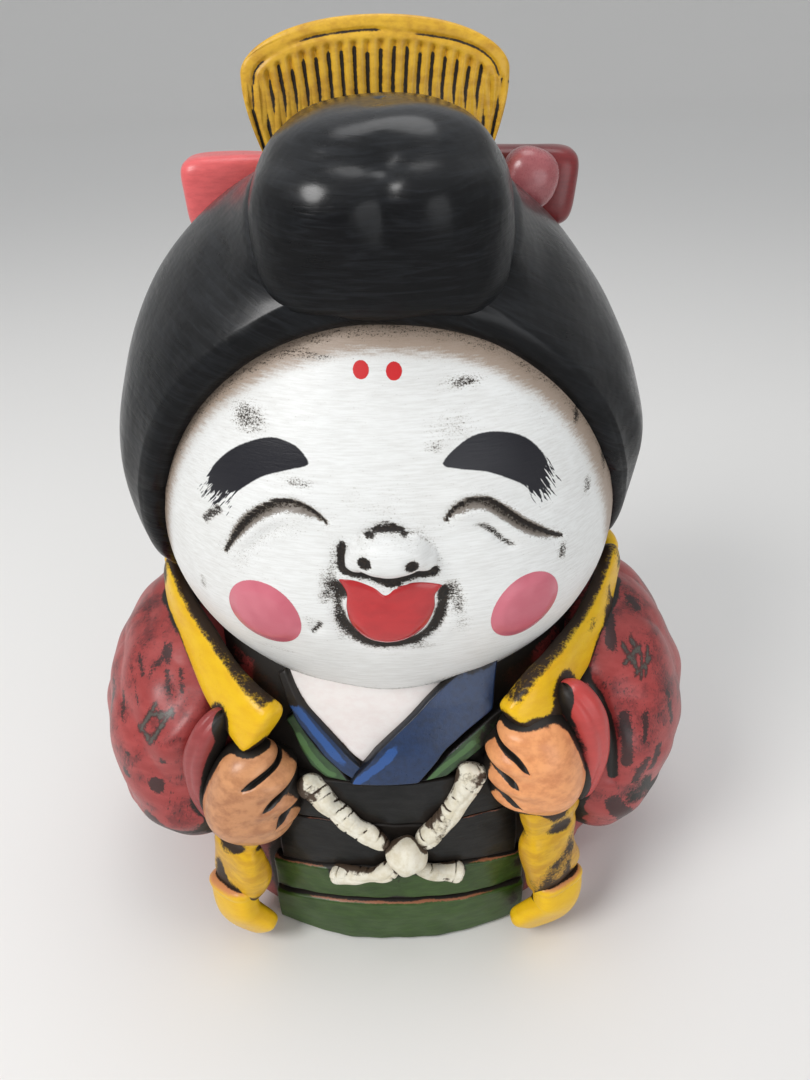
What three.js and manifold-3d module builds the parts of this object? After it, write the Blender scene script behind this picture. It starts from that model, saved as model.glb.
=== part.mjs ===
// A hand-built hollow clay doll: a round-faced lady in a wide coat, with dressed hair, comb and ribbon.
// Millimetres, +Z up. The doll faces -Y and stands on Z = 0, with the origin under the middle of its box.
// Each piece of clay that the maker shapes and lutes on is a mesh of its own, with a thin joint line between.
import * as THREE from "three";
import { mergeVertices } from "three/addons/utils/BufferGeometryUtils.js";
import Module from "manifold-3d";

const wasm = await Module();
wasm.setup();

// ---- Driving dimensions ----
const JOINT = 0.3; // slip joint left between neighbouring pieces
const WALL = 6; // thickness of the hollow body and head
const VENT_RADIUS = 12; // firing vent in the floor
const NECK_RADIUS = 15; // opening between the body and the head
const PASSAGE_RADIUS = 6; // opening from the body into each hollow sleeve
const HAIR_VENT_RADIUS = 4; // opening from the head into the forelock and the chignon

// An egg's upper half has the height radii[2] and its lower half the height below. An exponent under 1 makes
// a half boxier than an ellipsoid, and one over 1 makes it more pointed.
const HEAD = { at: [0, -5, 106], radii: [53, 46, 62], below: 46.5, upper: 1, lower: 1 };
const HAIR = { at: [0, 5, 118], radii: [61.5, 54, 66], below: 40, upper: 1.08, lower: 0.67 };
const SLEEVE = { at: [51.5, -2, 45.5], radii: [25.5, 42, 35.5], below: 34.5, upper: 1, lower: 0.9 };

const FACE_HALF_WIDTH = 49.3; // the opening in the hair, seen from the front
const FACE_HALF_HEIGHT = 48.5;

// The torso's outline: half width at each height. Its depth is DEPTH_SHARE of its width.
const TORSO_OUTLINE = [
  [56, 0], [57, 10], [57.5, 30], [56.5, 50], [54, 62],
  [50, 72], [45, 80], [36, 88], [20, 93.5], [0, 95],
];
const DEPTH_SHARE = 0.84;

// Heights of the joins between the layers of the sash, from the floor up.
const HEM_TOP = 15.2;
const GREEN_TOP = 27.5;
const BLACK_JOIN = 42.5;
const BLACK_TOP = 56;
const SASH_HALF_WIDTH = 30;
const SASH_THICK = 2.7; // the green bands
const SASH_THIN = 2; // the black bands

const HAND_RISE = { left: 52.5, right: 58 }; // the doll's hands are not level
const HAND_X = 32.5;
const HAND_RADII = [12, 9.5, 15];
const HAND_Y = -45.5;

const COLOURS = {
  faceWhite: "#e6e2dc", chestWhite: "#cdbfb4", hairBlack: "#14151a", combYellow: "#d9a012",
  ribbonRed: "#c2353a", beadPink: "#b9606a", lipRed: "#c2221f", coatRed: "#b5323a",
  lapelYellow: "#e0a90f", handClay: "#b9683f", collarBlue: "#2b4c95", collarGreen: "#3c5a3c",
  sashBlack: "#1d1d1f", sashGreen: "#2f5c2a", cordWhite: "#ddd5c2",
};

// ---- Solids ----
const solidCache = new Map();

// A closed geometry as a manifold-3d solid.
function solidOf(geometry) {
  if (solidCache.has(geometry)) return solidCache.get(geometry);
  const bare = geometry.clone();
  bare.deleteAttribute("normal");
  bare.deleteAttribute("uv");
  const merged = mergeVertices(bare, 1e-3);
  const solid = new wasm.Manifold(
    new wasm.Mesh({
      numProp: 3,
      vertProperties: merged.attributes.position.array,
      triVerts: new Uint32Array(merged.index.array),
    }),
  );
  solidCache.set(geometry, solid);
  return solid;
}

// A manifold-3d solid as a three.js geometry.
function geometryOf(solid) {
  const mesh = solid.getMesh();
  const count = mesh.vertProperties.length / mesh.numProp;
  const positions = new Float32Array(count * 3);
  for (let i = 0; i < count; i++) {
    positions.set(mesh.vertProperties.subarray(i * mesh.numProp, i * mesh.numProp + 3), i * 3);
  }
  const geometry = new THREE.BufferGeometry();
  geometry.setAttribute("position", new THREE.BufferAttribute(positions, 3));
  geometry.setIndex(new THREE.BufferAttribute(mesh.triVerts, 1));
  geometry.computeVertexNormals();
  return geometry;
}

// A solid less each of the others.
function less(solid, ...others) {
  return others.flat().reduce((rest, other) => rest.subtract(other), solid);
}

// The largest separate body of a solid, which drops the crumbs that a cut leaves.
function mainBody(solid) {
  const bodies = solid.decompose();
  return bodies.reduce((best, body) => (body.volume() > best.volume() ? body : best));
}

// ---- Shapes ----
// Moves every vertex of a geometry to move(vertex).
function warp(geometry, move) {
  const position = geometry.attributes.position;
  const point = new THREE.Vector3();
  for (let i = 0; i < position.count; i++) {
    point.fromBufferAttribute(position, i);
    move(point);
    position.setXYZ(i, point.x, point.y, point.z);
  }
  return geometry;
}

// A unit sphere with its poles on the Z axis.
function unitSphere(sides, rings) {
  return new THREE.SphereGeometry(1, sides, rings).rotateX(Math.PI / 2);
}

// An egg, larger all round by grow. side mirrors its place in X.
function egg({ at, radii, below, upper, lower }, grow = 0, side = 1, sides = 26, rings = 16) {
  const [rx, ry, rz] = radii.map((r) => r + grow);
  const shape = warp(unitSphere(sides, rings), (p) => {
    const power = p.z < 0 ? lower : upper;
    const flat = Math.hypot(p.x, p.y) || 1;
    const spread = flat ** (power - 1);
    p.set(p.x * spread * rx, p.y * spread * ry, p.z < 0 ? -(below + grow) * (-p.z) ** lower : p.z * rz);
  });
  return solidOf(shape.translate(side * at[0], at[1], at[2]));
}

// An ellipsoid lump, turned about its own centre. power under 1 makes it boxier.
function lump({ at, radii, turn = [0, 0, 0], power = 1 }, grow = 0, sides = 14, rings = 9) {
  const bulge = (value) => Math.sign(value) * Math.abs(value) ** power;
  const shape = warp(unitSphere(sides, rings), (p) => {
    p.set(bulge(p.x), bulge(p.y), bulge(p.z));
    p.multiply(new THREE.Vector3(...radii.map((r) => r + grow)));
  });
  const place = new THREE.Matrix4().makeRotationFromEuler(new THREE.Euler(...turn));
  place.setPosition(...at);
  return solidOf(shape.applyMatrix4(place));
}

// A band of clay along a smooth path, with round ends. facing(point) is the way its flat side looks.
function strand(band, grow = 0, sides = 8, steps = 6) {
  const { path, width, thick, facing, square = 0.7, taper = () => 1 } = band;
  const curve = new THREE.CatmullRomCurve3(path.map((p) => new THREE.Vector3(...p)));
  const ends = [0, 0.03];
  const inner = Array.from({ length: steps - 1 }, (_, i) => 0.03 + (0.94 * (i + 1)) / steps);
  const stations = [...ends, ...inner, ...ends.map((t) => 1 - t).reverse()];
  const rounding = (t) => (1 - Math.abs(2 * t - 1) ** 8) ** 0.5;
  const profile = stations.map((t) => new THREE.Vector2(rounding(t), t));
  const bulge = (value) => Math.sign(value) * Math.abs(value) ** square;
  const shape = new THREE.LatheGeometry(profile, sides).rotateX(Math.PI / 2);
  return solidOf(
    warp(shape, (p) => {
      const t = p.z;
      const tangent = curve.getTangent(t);
      const centre = curve.getPoint(t).addScaledVector(tangent, (2 * t - 1) * grow);
      const out = new THREE.Vector3(...facing(centre.toArray()));
      out.addScaledVector(tangent, -out.dot(tangent)).normalize();
      const across = new THREE.Vector3().crossVectors(out, tangent);
      const r = Math.hypot(p.x, p.y) || 1;
      const round = Math.hypot(p.x, p.y);
      const [c, s] = [bulge(p.x / r), bulge(p.y / r)];
      const swell = taper(t) * round;
      centre.addScaledVector(across, c * (width / 2) * swell + c * grow * Math.min(1, round * 2));
      p.copy(centre.addScaledVector(out, s * (thick / 2) * swell + s * grow * Math.min(1, round * 2)));
    }),
  );
}

// A box from its lowest to its highest corner.
function block(low, high) {
  const size = high.map((value, i) => value - low[i]);
  const middle = high.map((value, i) => (value + low[i]) / 2);
  return solidOf(new THREE.BoxGeometry(...size).translate(...middle));
}

// An upright cylinder.
function post(radius, low, high, sides = 20) {
  const shape = new THREE.CylinderGeometry(radius, radius, high - low, sides);
  return solidOf(shape.rotateX(Math.PI / 2).translate(0, 0, (low + high) / 2));
}

// The torso's dome, larger all round by grow, with its floor lowered by drop.
function torsoDome(grow = 0, drop = 0) {
  const points = TORSO_OUTLINE.map(([r, z]) => new THREE.Vector2(r && r + grow, z + (r ? 0 : grow)));
  const floor = new THREE.Vector2(points[0].x, -drop);
  const foot = drop > 0 ? [new THREE.Vector2(0, -drop), floor] : [new THREE.Vector2(0, 0)];
  const shape = new THREE.LatheGeometry([...foot, ...points], 32).rotateX(Math.PI / 2);
  return solidOf(shape.scale(1, (DEPTH_SHARE * 56 + grow) / (56 + grow), 1));
}

const outwards = ([x, y]) => [x, y, 0];
const bothSides = (make) => [make("left", -1), make("right", 1)];

// ---- Head ----
const head = egg(HEAD);
const headRoom = egg(HEAD, JOINT);
const hair = egg(HAIR);
const hairRoom = egg(HAIR, JOINT);

const BUN = { at: [1, -17.5, 169], radii: [25.8, 23.5, 19.8], power: 0.78, turn: [0.2, 0, 0] };
const forelock = (grow = 0) => lump(BUN, grow, 20, 13);

const CHIGNON = { at: [0, 36, 172], radii: [19, 17, 16], power: 0.9 };
const chignon = (grow = 0) => lump(CHIGNON, grow, 16, 10);

// The hollow head opens into the body below, and into the hollow lumps of hair above.
function headShell() {
  const hollow = egg(HEAD, -WALL, 1, 14, 8);
  const openings = [
    post(NECK_RADIUS, 40, 80),
    post(HAIR_VENT_RADIUS, 120, 170, 10).translate(BUN.at[0], BUN.at[1], 0),
    post(HAIR_VENT_RADIUS, 120, 170, 10).translate(CHIGNON.at[0], CHIGNON.at[1] - 12, 0),
  ];
  return less(head, hollow, openings);
}

function faceOpening() {
  const oval = new THREE.CylinderGeometry(1, 1, 80, 32).scale(FACE_HALF_WIDTH, 1, FACE_HALF_HEIGHT);
  return solidOf(oval.translate(0, HEAD.at[1] - 40, HEAD.at[2]));
}

function hairCap() {
  return mainBody(less(hair, headRoom, faceOpening(), block([-70, -70, 60], [70, -14, 92])));
}

// The comb: a half-moon back and a row of teeth, pushed into the hair behind the forelock.
const COMB = { y: 10, thick: 7, foot: 172, shoulder: 194.5, top: 205, halfFoot: 20, halfTop: 27.3 };
const TOOTH_GROOVES = 16;
const GROOVE_DEEP = 1.2;

function combOutline(grow) {
  const half = COMB.halfTop + grow;
  const outline = new THREE.Shape();
  outline.moveTo(-COMB.halfFoot - grow, COMB.foot - grow);
  outline.lineTo(COMB.halfFoot + grow, COMB.foot - grow);
  outline.bezierCurveTo(half - 3, COMB.shoulder - 14, half + 0.5, COMB.shoulder - 6, half, COMB.shoulder);
  outline.bezierCurveTo(half * 0.78, COMB.top - 1.5 + grow, half * 0.4, COMB.top + grow, 0, COMB.top + grow);
  outline.bezierCurveTo(
    -half * 0.4, COMB.top + grow, -half * 0.78, COMB.top - 1.5 + grow, -half, COMB.shoulder,
  );
  outline.bezierCurveTo(
    -half - 0.5, COMB.shoulder - 6, 3 - half, COMB.shoulder - 14, -COMB.halfFoot - grow, COMB.foot - grow,
  );
  return outline;
}

function combPlate(grow = 0) {
  const plate = new THREE.ExtrudeGeometry(combOutline(grow), {
    depth: COMB.thick + 2 * grow, bevelEnabled: false, curveSegments: 8,
  });
  plate.translate(0, 0, -COMB.thick / 2 - grow).rotateX(Math.PI / 2);
  return solidOf(plate.translate(0, COMB.y, 0));
}

function comb() {
  const grooves = [];
  for (let i = 0; i < TOOTH_GROOVES; i++) {
    const share = (i + 0.5) / TOOTH_GROOVES - 0.5;
    const x = share * 2 * (COMB.halfTop - 3);
    const top = COMB.top - 5 - 11 * (2 * share) ** 2;
    const face = COMB.y - COMB.thick / 2;
    grooves.push(block([x - 0.6, face - 1, COMB.foot - 1], [x + 0.6, face + GROOVE_DEEP, top]));
  }
  return less(combPlate(), grooves, forelock(JOINT), hairRoom, chignon(JOINT));
}

// Two loops of the ribbon stand out behind the comb, and its knot sits at the back of the chignon.
const RIBBON_LOOP = { at: [31, 26, 172], radii: [14.5, 8.5, 9], turn: [0, 0.12, -0.1], power: 0.75 };
const ribbonLoop = (side, grow = 0) => {
  const { at: [x, y, z], turn: [, roll, yaw] } = RIBBON_LOOP;
  return lump({ ...RIBBON_LOOP, at: [side * x, y, z], turn: [0, side * roll, side * yaw] }, grow);
};
const RIBBON_KNOT = { at: [0, 53, 174], radii: [6.5, 5, 6], power: 0.85 };
const HAIR_BEAD = { at: [34.5, 13, 174.5], radii: [5.4, 5.4, 5.4] };
const NOSE = { at: [0.4, -49.5, 115.8], radii: [7.6, 5, 4.8] };
const LIPS = { at: [0.4, -49, 103.4], radii: [9.8, 4.2, 7.6] };

// ---- Torso ----
const torso = torsoDome();
const torsoRoom = torsoDome(JOINT, 1);

function torsoShell() {
  const hollow = less(
    torsoDome(-WALL).intersect(block([-80, -80, WALL], [80, 80, 120])),
    egg(HEAD, WALL + JOINT),
    egg(HAIR, WALL + JOINT),
  );
  const passage = new THREE.CylinderGeometry(PASSAGE_RADIUS, PASSAGE_RADIUS, 140, 12).rotateZ(Math.PI / 2);
  const openings = [
    post(VENT_RADIUS, -1, WALL + 1),
    post(NECK_RADIUS, 45, 80),
    solidOf(passage.translate(0, SLEEVE.at[1], SLEEVE.at[2])),
  ];
  return mainBody(less(torso, headRoom, hairRoom, hollow, openings));
}

// A layer over the torso's front, between two heights, that reaches halfWidth to each side.
function frontLayer({ low, high, thick, halfWidth }, grow = 0) {
  const slab = block([-halfWidth - grow, -80, low - grow], [halfWidth + grow, -20, high + grow]);
  return less(torsoDome(thick + grow, grow ? 1 : 0).intersect(slab), grow ? [] : torsoRoom);
}

const SASH_LAYERS = {
  hem_band: { low: 0, high: HEM_TOP, thick: SASH_THICK + 0.6, halfWidth: SASH_HALF_WIDTH },
  green_band: { low: HEM_TOP + JOINT, high: GREEN_TOP, thick: SASH_THICK, halfWidth: SASH_HALF_WIDTH },
  sash_lower: { low: GREEN_TOP + JOINT, high: BLACK_JOIN, thick: SASH_THIN, halfWidth: SASH_HALF_WIDTH - 2 },
  sash_upper: { low: BLACK_JOIN + JOINT, high: BLACK_TOP, thick: SASH_THIN, halfWidth: SASH_HALF_WIDTH - 4 },
};
const CHEST = { low: BLACK_TOP + JOINT, high: 84, thick: 1.2, halfWidth: 20 };

// The collars cross over the chest: blue inside, green outside. Each lies against the layer under it.
const collar = (path, width, thick) => ({ path, width, thick, facing: outwards, square: 0.55 });
const COLLARS = {
  inner_collar_left: collar([[-24, -39, 79], [-18, -45, 71], [-10.5, -48.5, 62.5], [-4, -50.5, 56.5]], 7.5, 3.6),
  inner_collar_right: collar([[26, -35, 86], [18, -43.5, 76], [9, -48.5, 66], [-3.5, -50.5, 57.5]], 13, 4.6),
  outer_collar_left: collar([[-29, -40, 72], [-22, -45, 64.5], [-15, -48, 58]], 7, 3.2),
  outer_collar_right: collar([[29, -38, 76], [23, -44, 67.5], [15.5, -47.8, 59]], 8, 3.4),
};

// The cord over the sash: two twisted runs, a round knot and two short tails.
const cordRun = (path, width) => ({ path, width, thick: width, facing: outwards, square: 1 });
const CORD = {
  cord_run_left: cordRun([[-20, -49.5, 57], [-12, -51.8, 49], [-4, -53, 42]], 5.4),
  cord_run_right: cordRun([[19.5, -49, 59.5], [12.5, -51.8, 50], [6, -53, 42.5]], 5.6),
  cord_tail_left: cordRun([[-14, -52.5, 30.2], [-8, -53.5, 32.5], [-3.5, -53.8, 35]], 4.6),
  cord_tail_right: cordRun([[14.5, -52.5, 29.4], [9, -53.5, 32], [5.5, -53.8, 34.8]], 4.6),
};
const CORD_KNOT = { at: [1.5, -54.2, 38.6], radii: [4.9, 4.2, 4.9] };

// ---- Coat ----
const hand = (name, side, grow = 0) =>
  lump({ at: [side * HAND_X, HAND_Y, HAND_RISE[name]], radii: HAND_RADII, turn: [0.12, side * -0.12, 0] },
    grow, 16, 11);

const lapelUpper = (name, side, lift = name === "left" ? 0 : 2.5) => ({
  path: [[58, 0, 85.5], [51.5, -14, 80], [42, -29, 75.5], [33.5, -40, 71.5 + lift], [27.5, -46, 66 + lift]]
    .map(([x, y, z]) => [side * x, y, z]),
  width: 13, thick: 8, facing: ([x, y]) => [x, y, 20], square: 0.75, taper: (t) => 0.6 + 0.45 * t,
});
const lapelLower = (name, side) => ({
  path: [[35.5, -46.5, HAND_RISE[name] - 9], [38, -47, 30], [39.5, -46, 16]]
    .map(([x, y, z]) => [side * x, y, z]),
  width: 15, thick: 8, facing: outwards, square: 0.6,
});
const lapelEnd = (name, side) => ({
  path: [[42.5, -43.5, 15], [39.5, -46, 8], [33.5, -48, 1]].map(([x, y, z]) => [side * x, y, z]),
  width: 14, thick: 8, facing: outwards, square: 0.6,
});
const lapelNeck = {
  path: [[-57.5, 1.5, 86], [-51, 18, 82], [-37, 33, 77], [-19, 42, 73.5], [0, 44.5, 72],
    [19, 42, 73.5], [37, 33, 77], [51, 18, 82], [57.5, 1.5, 86]],
  width: 9, thick: 7, facing: ([x, y]) => [x, y, 30], square: 0.75,
};
const cuff = (name, side, lift = name === "left" ? -5 : 0) => ({
  path: [[35, -42, 78], [43, -43, 72], [48, -42, 60], [46.5, -41, 46]]
    .map(([x, y, z]) => [side * x, y, z + lift]),
  width: 8, thick: 10, facing: outwards, square: 0.8,
});

// ---- Assembly ----
const doll = new THREE.Group();

function add(name, solid, colour, roughness = 0.45) {
  const material = new THREE.MeshStandardMaterial({ color: COLOURS[colour], roughness, metalness: 0 });
  const mesh = new THREE.Mesh(geometryOf(mainBody(solid)), material);
  mesh.name = name;
  doll.add(mesh);
}

const floorCut = block([-100, -100, -20], [100, 100, 0]);
const skull = [headRoom, hairRoom];

add("head_shell", headShell(), "faceWhite", 0.5);
add("nose", less(lump(NOSE), headRoom), "faceWhite", 0.5);
add("lips", less(lump(LIPS), headRoom, lump(NOSE, JOINT)), "lipRed", 0.35);
add("hair_cap", less(hairCap(), forelock(JOINT), chignon(JOINT)), "hairBlack", 0.3);
add("forelock", less(forelock(), headRoom, lump(BUN, -WALL, 12, 8)), "hairBlack", 0.3);
add("chignon", less(chignon(), headRoom, lump(CHIGNON, -WALL, 10, 6)), "hairBlack", 0.3);
add("comb", comb(), "combYellow", 0.45);
for (const [name, side] of [["ribbon_loop_left", -1], ["ribbon_loop_right", 1]]) {
  const loop = less(ribbonLoop(side), hairRoom, chignon(JOINT), combPlate(JOINT), lump(HAIR_BEAD, JOINT));
  add(name, loop, "ribbonRed", 0.35);
}
add("ribbon_knot", less(lump(RIBBON_KNOT), hairRoom, chignon(JOINT)), "ribbonRed", 0.35);
add("hair_bead", less(lump(HAIR_BEAD), hairRoom), "beadPink", 0.35);

add("torso_shell", torsoShell(), "coatRed");
for (const [name, layer] of Object.entries(SASH_LAYERS)) {
  add(name, frontLayer(layer), name.startsWith("sash") ? "sashBlack" : "sashGreen");
}
const sashRoom = Object.values(SASH_LAYERS).map((layer) => frontLayer(layer, JOINT));
add("chest", less(frontLayer(CHEST), skull), "chestWhite", 0.6);
const chestRoom = frontLayer(CHEST, JOINT);

const laid = [torsoRoom, ...sashRoom, chestRoom, ...skull]; // what the collars lie on
for (const name of ["inner_collar_left", "inner_collar_right", "outer_collar_left", "outer_collar_right"]) {
  add(name, less(strand(COLLARS[name]), laid), name.startsWith("inner") ? "collarBlue" : "collarGreen");
  laid.push(strand(COLLARS[name], JOINT));
}

add("cord_knot", less(lump(CORD_KNOT), laid), "cordWhite");
laid.push(lump(CORD_KNOT, JOINT));
for (const [name, run] of Object.entries(CORD)) {
  add(name, less(strand(run), laid), "cordWhite");
  laid.push(strand(run, JOINT));
}

add("lapel_neck", less(strand(lapelNeck, 0, 8, 14), laid), "lapelYellow");
laid.push(strand(lapelNeck, JOINT, 8, 14));

bothSides((name, side) => {
  add(`hand_${name}`, less(hand(name, side), laid), "handClay");
  laid.push(hand(name, side, JOINT));
  const strips = [["lapel_upper", lapelUpper], ["lapel_lower", lapelLower], ["lapel_end", lapelEnd]];
  for (const [piece, make] of strips) {
    add(`${piece}_${name}`, less(strand(make(name, side)), laid, floorCut), "lapelYellow");
    laid.push(strand(make(name, side), JOINT));
  }
  add(`cuff_${name}`, less(strand(cuff(name, side)), laid), "coatRed");
  laid.push(strand(cuff(name, side), JOINT));
  const sleeveWall = less(egg(SLEEVE, 0, side, 22, 14), egg(SLEEVE, -WALL, side, 14, 8));
  add(`sleeve_${name}`, less(sleeveWall, laid), "coatRed");
});

// Stands the doll on Z = 0 with the origin under the middle of its box.
const box = new THREE.Box3().setFromObject(doll);
const middle = box.getCenter(new THREE.Vector3());
doll.position.set(-middle.x, -middle.y, -box.min.z);

export default doll;
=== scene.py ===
import math

import bpy
import numpy as np
from mathutils import Matrix, Vector


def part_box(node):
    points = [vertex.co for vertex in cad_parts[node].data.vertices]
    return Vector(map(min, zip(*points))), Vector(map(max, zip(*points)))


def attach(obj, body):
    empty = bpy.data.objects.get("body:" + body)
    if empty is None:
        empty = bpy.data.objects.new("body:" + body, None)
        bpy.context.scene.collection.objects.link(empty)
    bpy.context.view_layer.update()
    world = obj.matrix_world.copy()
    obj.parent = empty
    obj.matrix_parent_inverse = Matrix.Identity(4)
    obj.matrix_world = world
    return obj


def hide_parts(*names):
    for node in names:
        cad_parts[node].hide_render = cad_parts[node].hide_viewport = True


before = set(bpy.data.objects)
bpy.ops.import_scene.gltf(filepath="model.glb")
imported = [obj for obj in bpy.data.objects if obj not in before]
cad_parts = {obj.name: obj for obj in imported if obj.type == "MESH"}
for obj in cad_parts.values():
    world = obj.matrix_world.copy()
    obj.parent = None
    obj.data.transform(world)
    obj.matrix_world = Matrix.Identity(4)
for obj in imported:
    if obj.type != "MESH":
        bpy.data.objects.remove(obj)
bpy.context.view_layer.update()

# Everything below is worked out in millimetres from the doll's own upright axis, x to the viewer's right,
# y backwards and z up. toMetres takes it to the frame.
mm = 0.001
torsoLow, torsoHigh = (np.array(corner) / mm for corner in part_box("torso_shell"))
dollAxis = np.array([(torsoLow[0] + torsoHigh[0]) / 2, (torsoLow[1] + torsoHigh[1]) / 2, 0.0])


def toMetres(points):
    return (points + dollAxis) * mm


def nodeBox(node):  # lowest and highest corner of a node, in the doll's millimetres
    low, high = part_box(node)
    return np.array(low) / mm - dollAxis, np.array(high) / mm - dollAxis


def nodeMiddle(node):
    low, high = nodeBox(node)
    return (low + high) / 2


# Numbers on whole arrays.
def smooth(value, low, high):  # 0 below low, 1 above high, an S curve between
    share = np.clip((value - low) / (high - low), 0, 1)
    return share * share * (3 - 2 * share)


def bell(distance, width):  # 1 at no distance, falling off as a Gaussian of that width
    return np.exp(-((distance / width) ** 2))


def bulge(value, power):  # signed power, which makes a circle boxier under 1
    return np.sign(value) * np.abs(value) ** power


def nearLine(points, line, count=24):  # distance to the curve through line, and the share of the way along it
    return [part.reshape(points.shape[:-1]) for part in toLine(points.reshape(-1, 2), curve(line, count))]


def fading(share, reach=0.3):  # 1 along a line, falling to 0 over that share of it at each end
    return smooth(share, 0, reach) * smooth(share, 1, 1 - reach)


def flatLumps(flat, size, seed):  # the same waves on (x, z) pairs
    return lumps(np.column_stack([flat, 0 * flat[:, 0]]), size, seed)


def unit(vectors):
    return vectors / np.maximum(np.linalg.norm(vectors, axis=-1, keepdims=True), 1e-9)


def lumps(points, size, seed):  # slow waves in seven fixed directions, about -1 to 1, one hump each size mm
    rng = np.random.default_rng(seed)
    ways = unit(rng.normal(size=(7, 3)))
    waves = np.sin(points @ ways.T * (math.pi / size) + rng.uniform(0, 2 * math.pi, 7))
    return waves.sum(-1) / 3.5


def curve(points, count, closed=False):  # Catmull-Rom curve through the points, count places along it
    points = np.asarray(points, float)
    if closed:
        ring = np.vstack([points[-1:], points, points[:2]])
        spans = len(points)
    else:
        ring = np.vstack([2 * points[0] - points[1], points, 2 * points[-1] - points[-2]])
        spans = len(points) - 1
    place = np.linspace(0, spans, count, endpoint=not closed)
    span = np.minimum(place.astype(int), spans - 1)
    t = (place - span)[:, None]
    a, b, c, d = (ring[span + step] for step in range(4))
    return 0.5 * (2 * b + (c - a) * t + (2 * a - 5 * b + 4 * c - d) * t**2 + (3 * b - 3 * c + d - a) * t**3)


def toLine(points, line):  # distance from each point to a polyline, and the share of the way along it
    start, step = line[:-1], np.diff(line, axis=0)
    best = np.full(len(points), 1e9)
    share = np.zeros(len(points))
    for i, (a, d) in enumerate(zip(start, step)):
        t = np.clip(((points - a) @ d) / max(d @ d, 1e-9), 0, 1)
        gap = np.linalg.norm(points - a - t[:, None] * d, axis=1)
        closer = gap < best
        best[closer] = gap[closer]
        share[closer] = ((i + t) / len(step))[closer]
    return best, share


def insideBy(points, outline):  # signed distance into a closed flat outline, positive inside
    loop = np.vstack([outline, outline[:1]])
    gap, _ = toLine(points, loop)
    a, b = loop[:-1], loop[1:]
    x, y = points[:, :1], points[:, 1:]
    spans = (a[:, 1] > y) != (b[:, 1] > y)
    rise = np.where(np.abs(b[:, 1] - a[:, 1]) < 1e-9, 1e-9, b[:, 1] - a[:, 1])
    crossings = (spans & (x < a[:, 0] + (y - a[:, 1]) * (b[:, 0] - a[:, 0]) / rise)).sum(1)
    return np.where(crossings % 2 == 1, gap, -gap)


# Meshes.
pieces = {}  # name: the object, its points and its outward normals


def gridNormals(grid):  # outward normals of a grid whose columns close on themselves
    along = np.gradient(grid, axis=0)
    around = (np.roll(grid, -1, axis=1) - np.roll(grid, 1, axis=1)) / 2
    normals = np.cross(along, around)
    middle = grid.reshape(-1, 3).mean(0)
    return unit(normals) * np.sign(((grid - middle) * normals).sum())


def push(grid, height):  # moves a grid outwards by a height at each point
    return grid + gridNormals(grid) * height[..., None]


# Puts a closed grid into a mesh: rows run from one pole to the other, columns close on themselves, and the
# first and last rows each become one point. marks are numbers at each point that the paint reads.
def addPiece(name, grid, replaces, material, marks):
    rows, cols = grid.shape[:2]
    flat = lambda a: np.concatenate([a[0, :1], a[1:-1].reshape(-1, *a.shape[2:]), a[-1, :1]])
    points = flat(grid)
    ring = 1 + np.arange((rows - 2) * cols).reshape(rows - 2, cols)
    near, far = ring[:-1], ring[1:]
    quads = np.stack([near, np.roll(near, -1, 1), np.roll(far, -1, 1), far], -1).reshape(-1, 4)
    first, last = ring[0], ring[-1]
    cap = np.stack([np.zeros_like(first), np.roll(first, -1), first], -1)
    end = np.stack([np.full_like(last, len(points) - 1), last, np.roll(last, -1)], -1)
    a, b, c = points[quads[:, 0]], points[quads[:, 1]], points[quads[:, 2]]
    if (np.cross(a, b) * c).sum() + (np.cross(a, c) * points[quads[:, 3]]).sum() < 0:
        quads, cap, end = quads[:, ::-1], cap[:, ::-1], end[:, ::-1]
    mesh = bpy.data.meshes.new(name)
    mesh.from_pydata(toMetres(points), [], quads.tolist() + cap.tolist() + end.tolist())
    mesh.shade_smooth()
    for mark, values in marks.items():
        layer = mesh.attributes.new(mark, "FLOAT", "POINT")
        layer.data.foreach_set("value", flat(values).astype(np.float32))
    mesh.materials.append(material)
    piece = bpy.data.objects.new(name, mesh)
    bpy.context.collection.objects.link(piece)
    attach(piece, "root")
    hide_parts(*replaces)
    normals = np.empty(len(points) * 3, np.float32)
    mesh.vertex_normals.foreach_get("vector", normals)
    centres = (a + c) / 2
    pieces[name] = (piece, points, normals.reshape(-1, 3), centres)


# A ball of directions: rows from the low pole to the high one along y (axis 1) or z (axis 2), columns around it.
def ballGrid(rows, cols, axis=2):
    lift = np.linspace(-math.pi / 2, math.pi / 2, rows)[:, None]
    turn = np.arange(cols) / cols * 2 * math.pi
    parts = [np.cos(lift) * np.cos(turn), np.cos(lift) * np.sin(turn), np.sin(lift) + 0 * turn]
    return np.stack(parts[2 - axis:] + parts[:2 - axis], -1)


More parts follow.
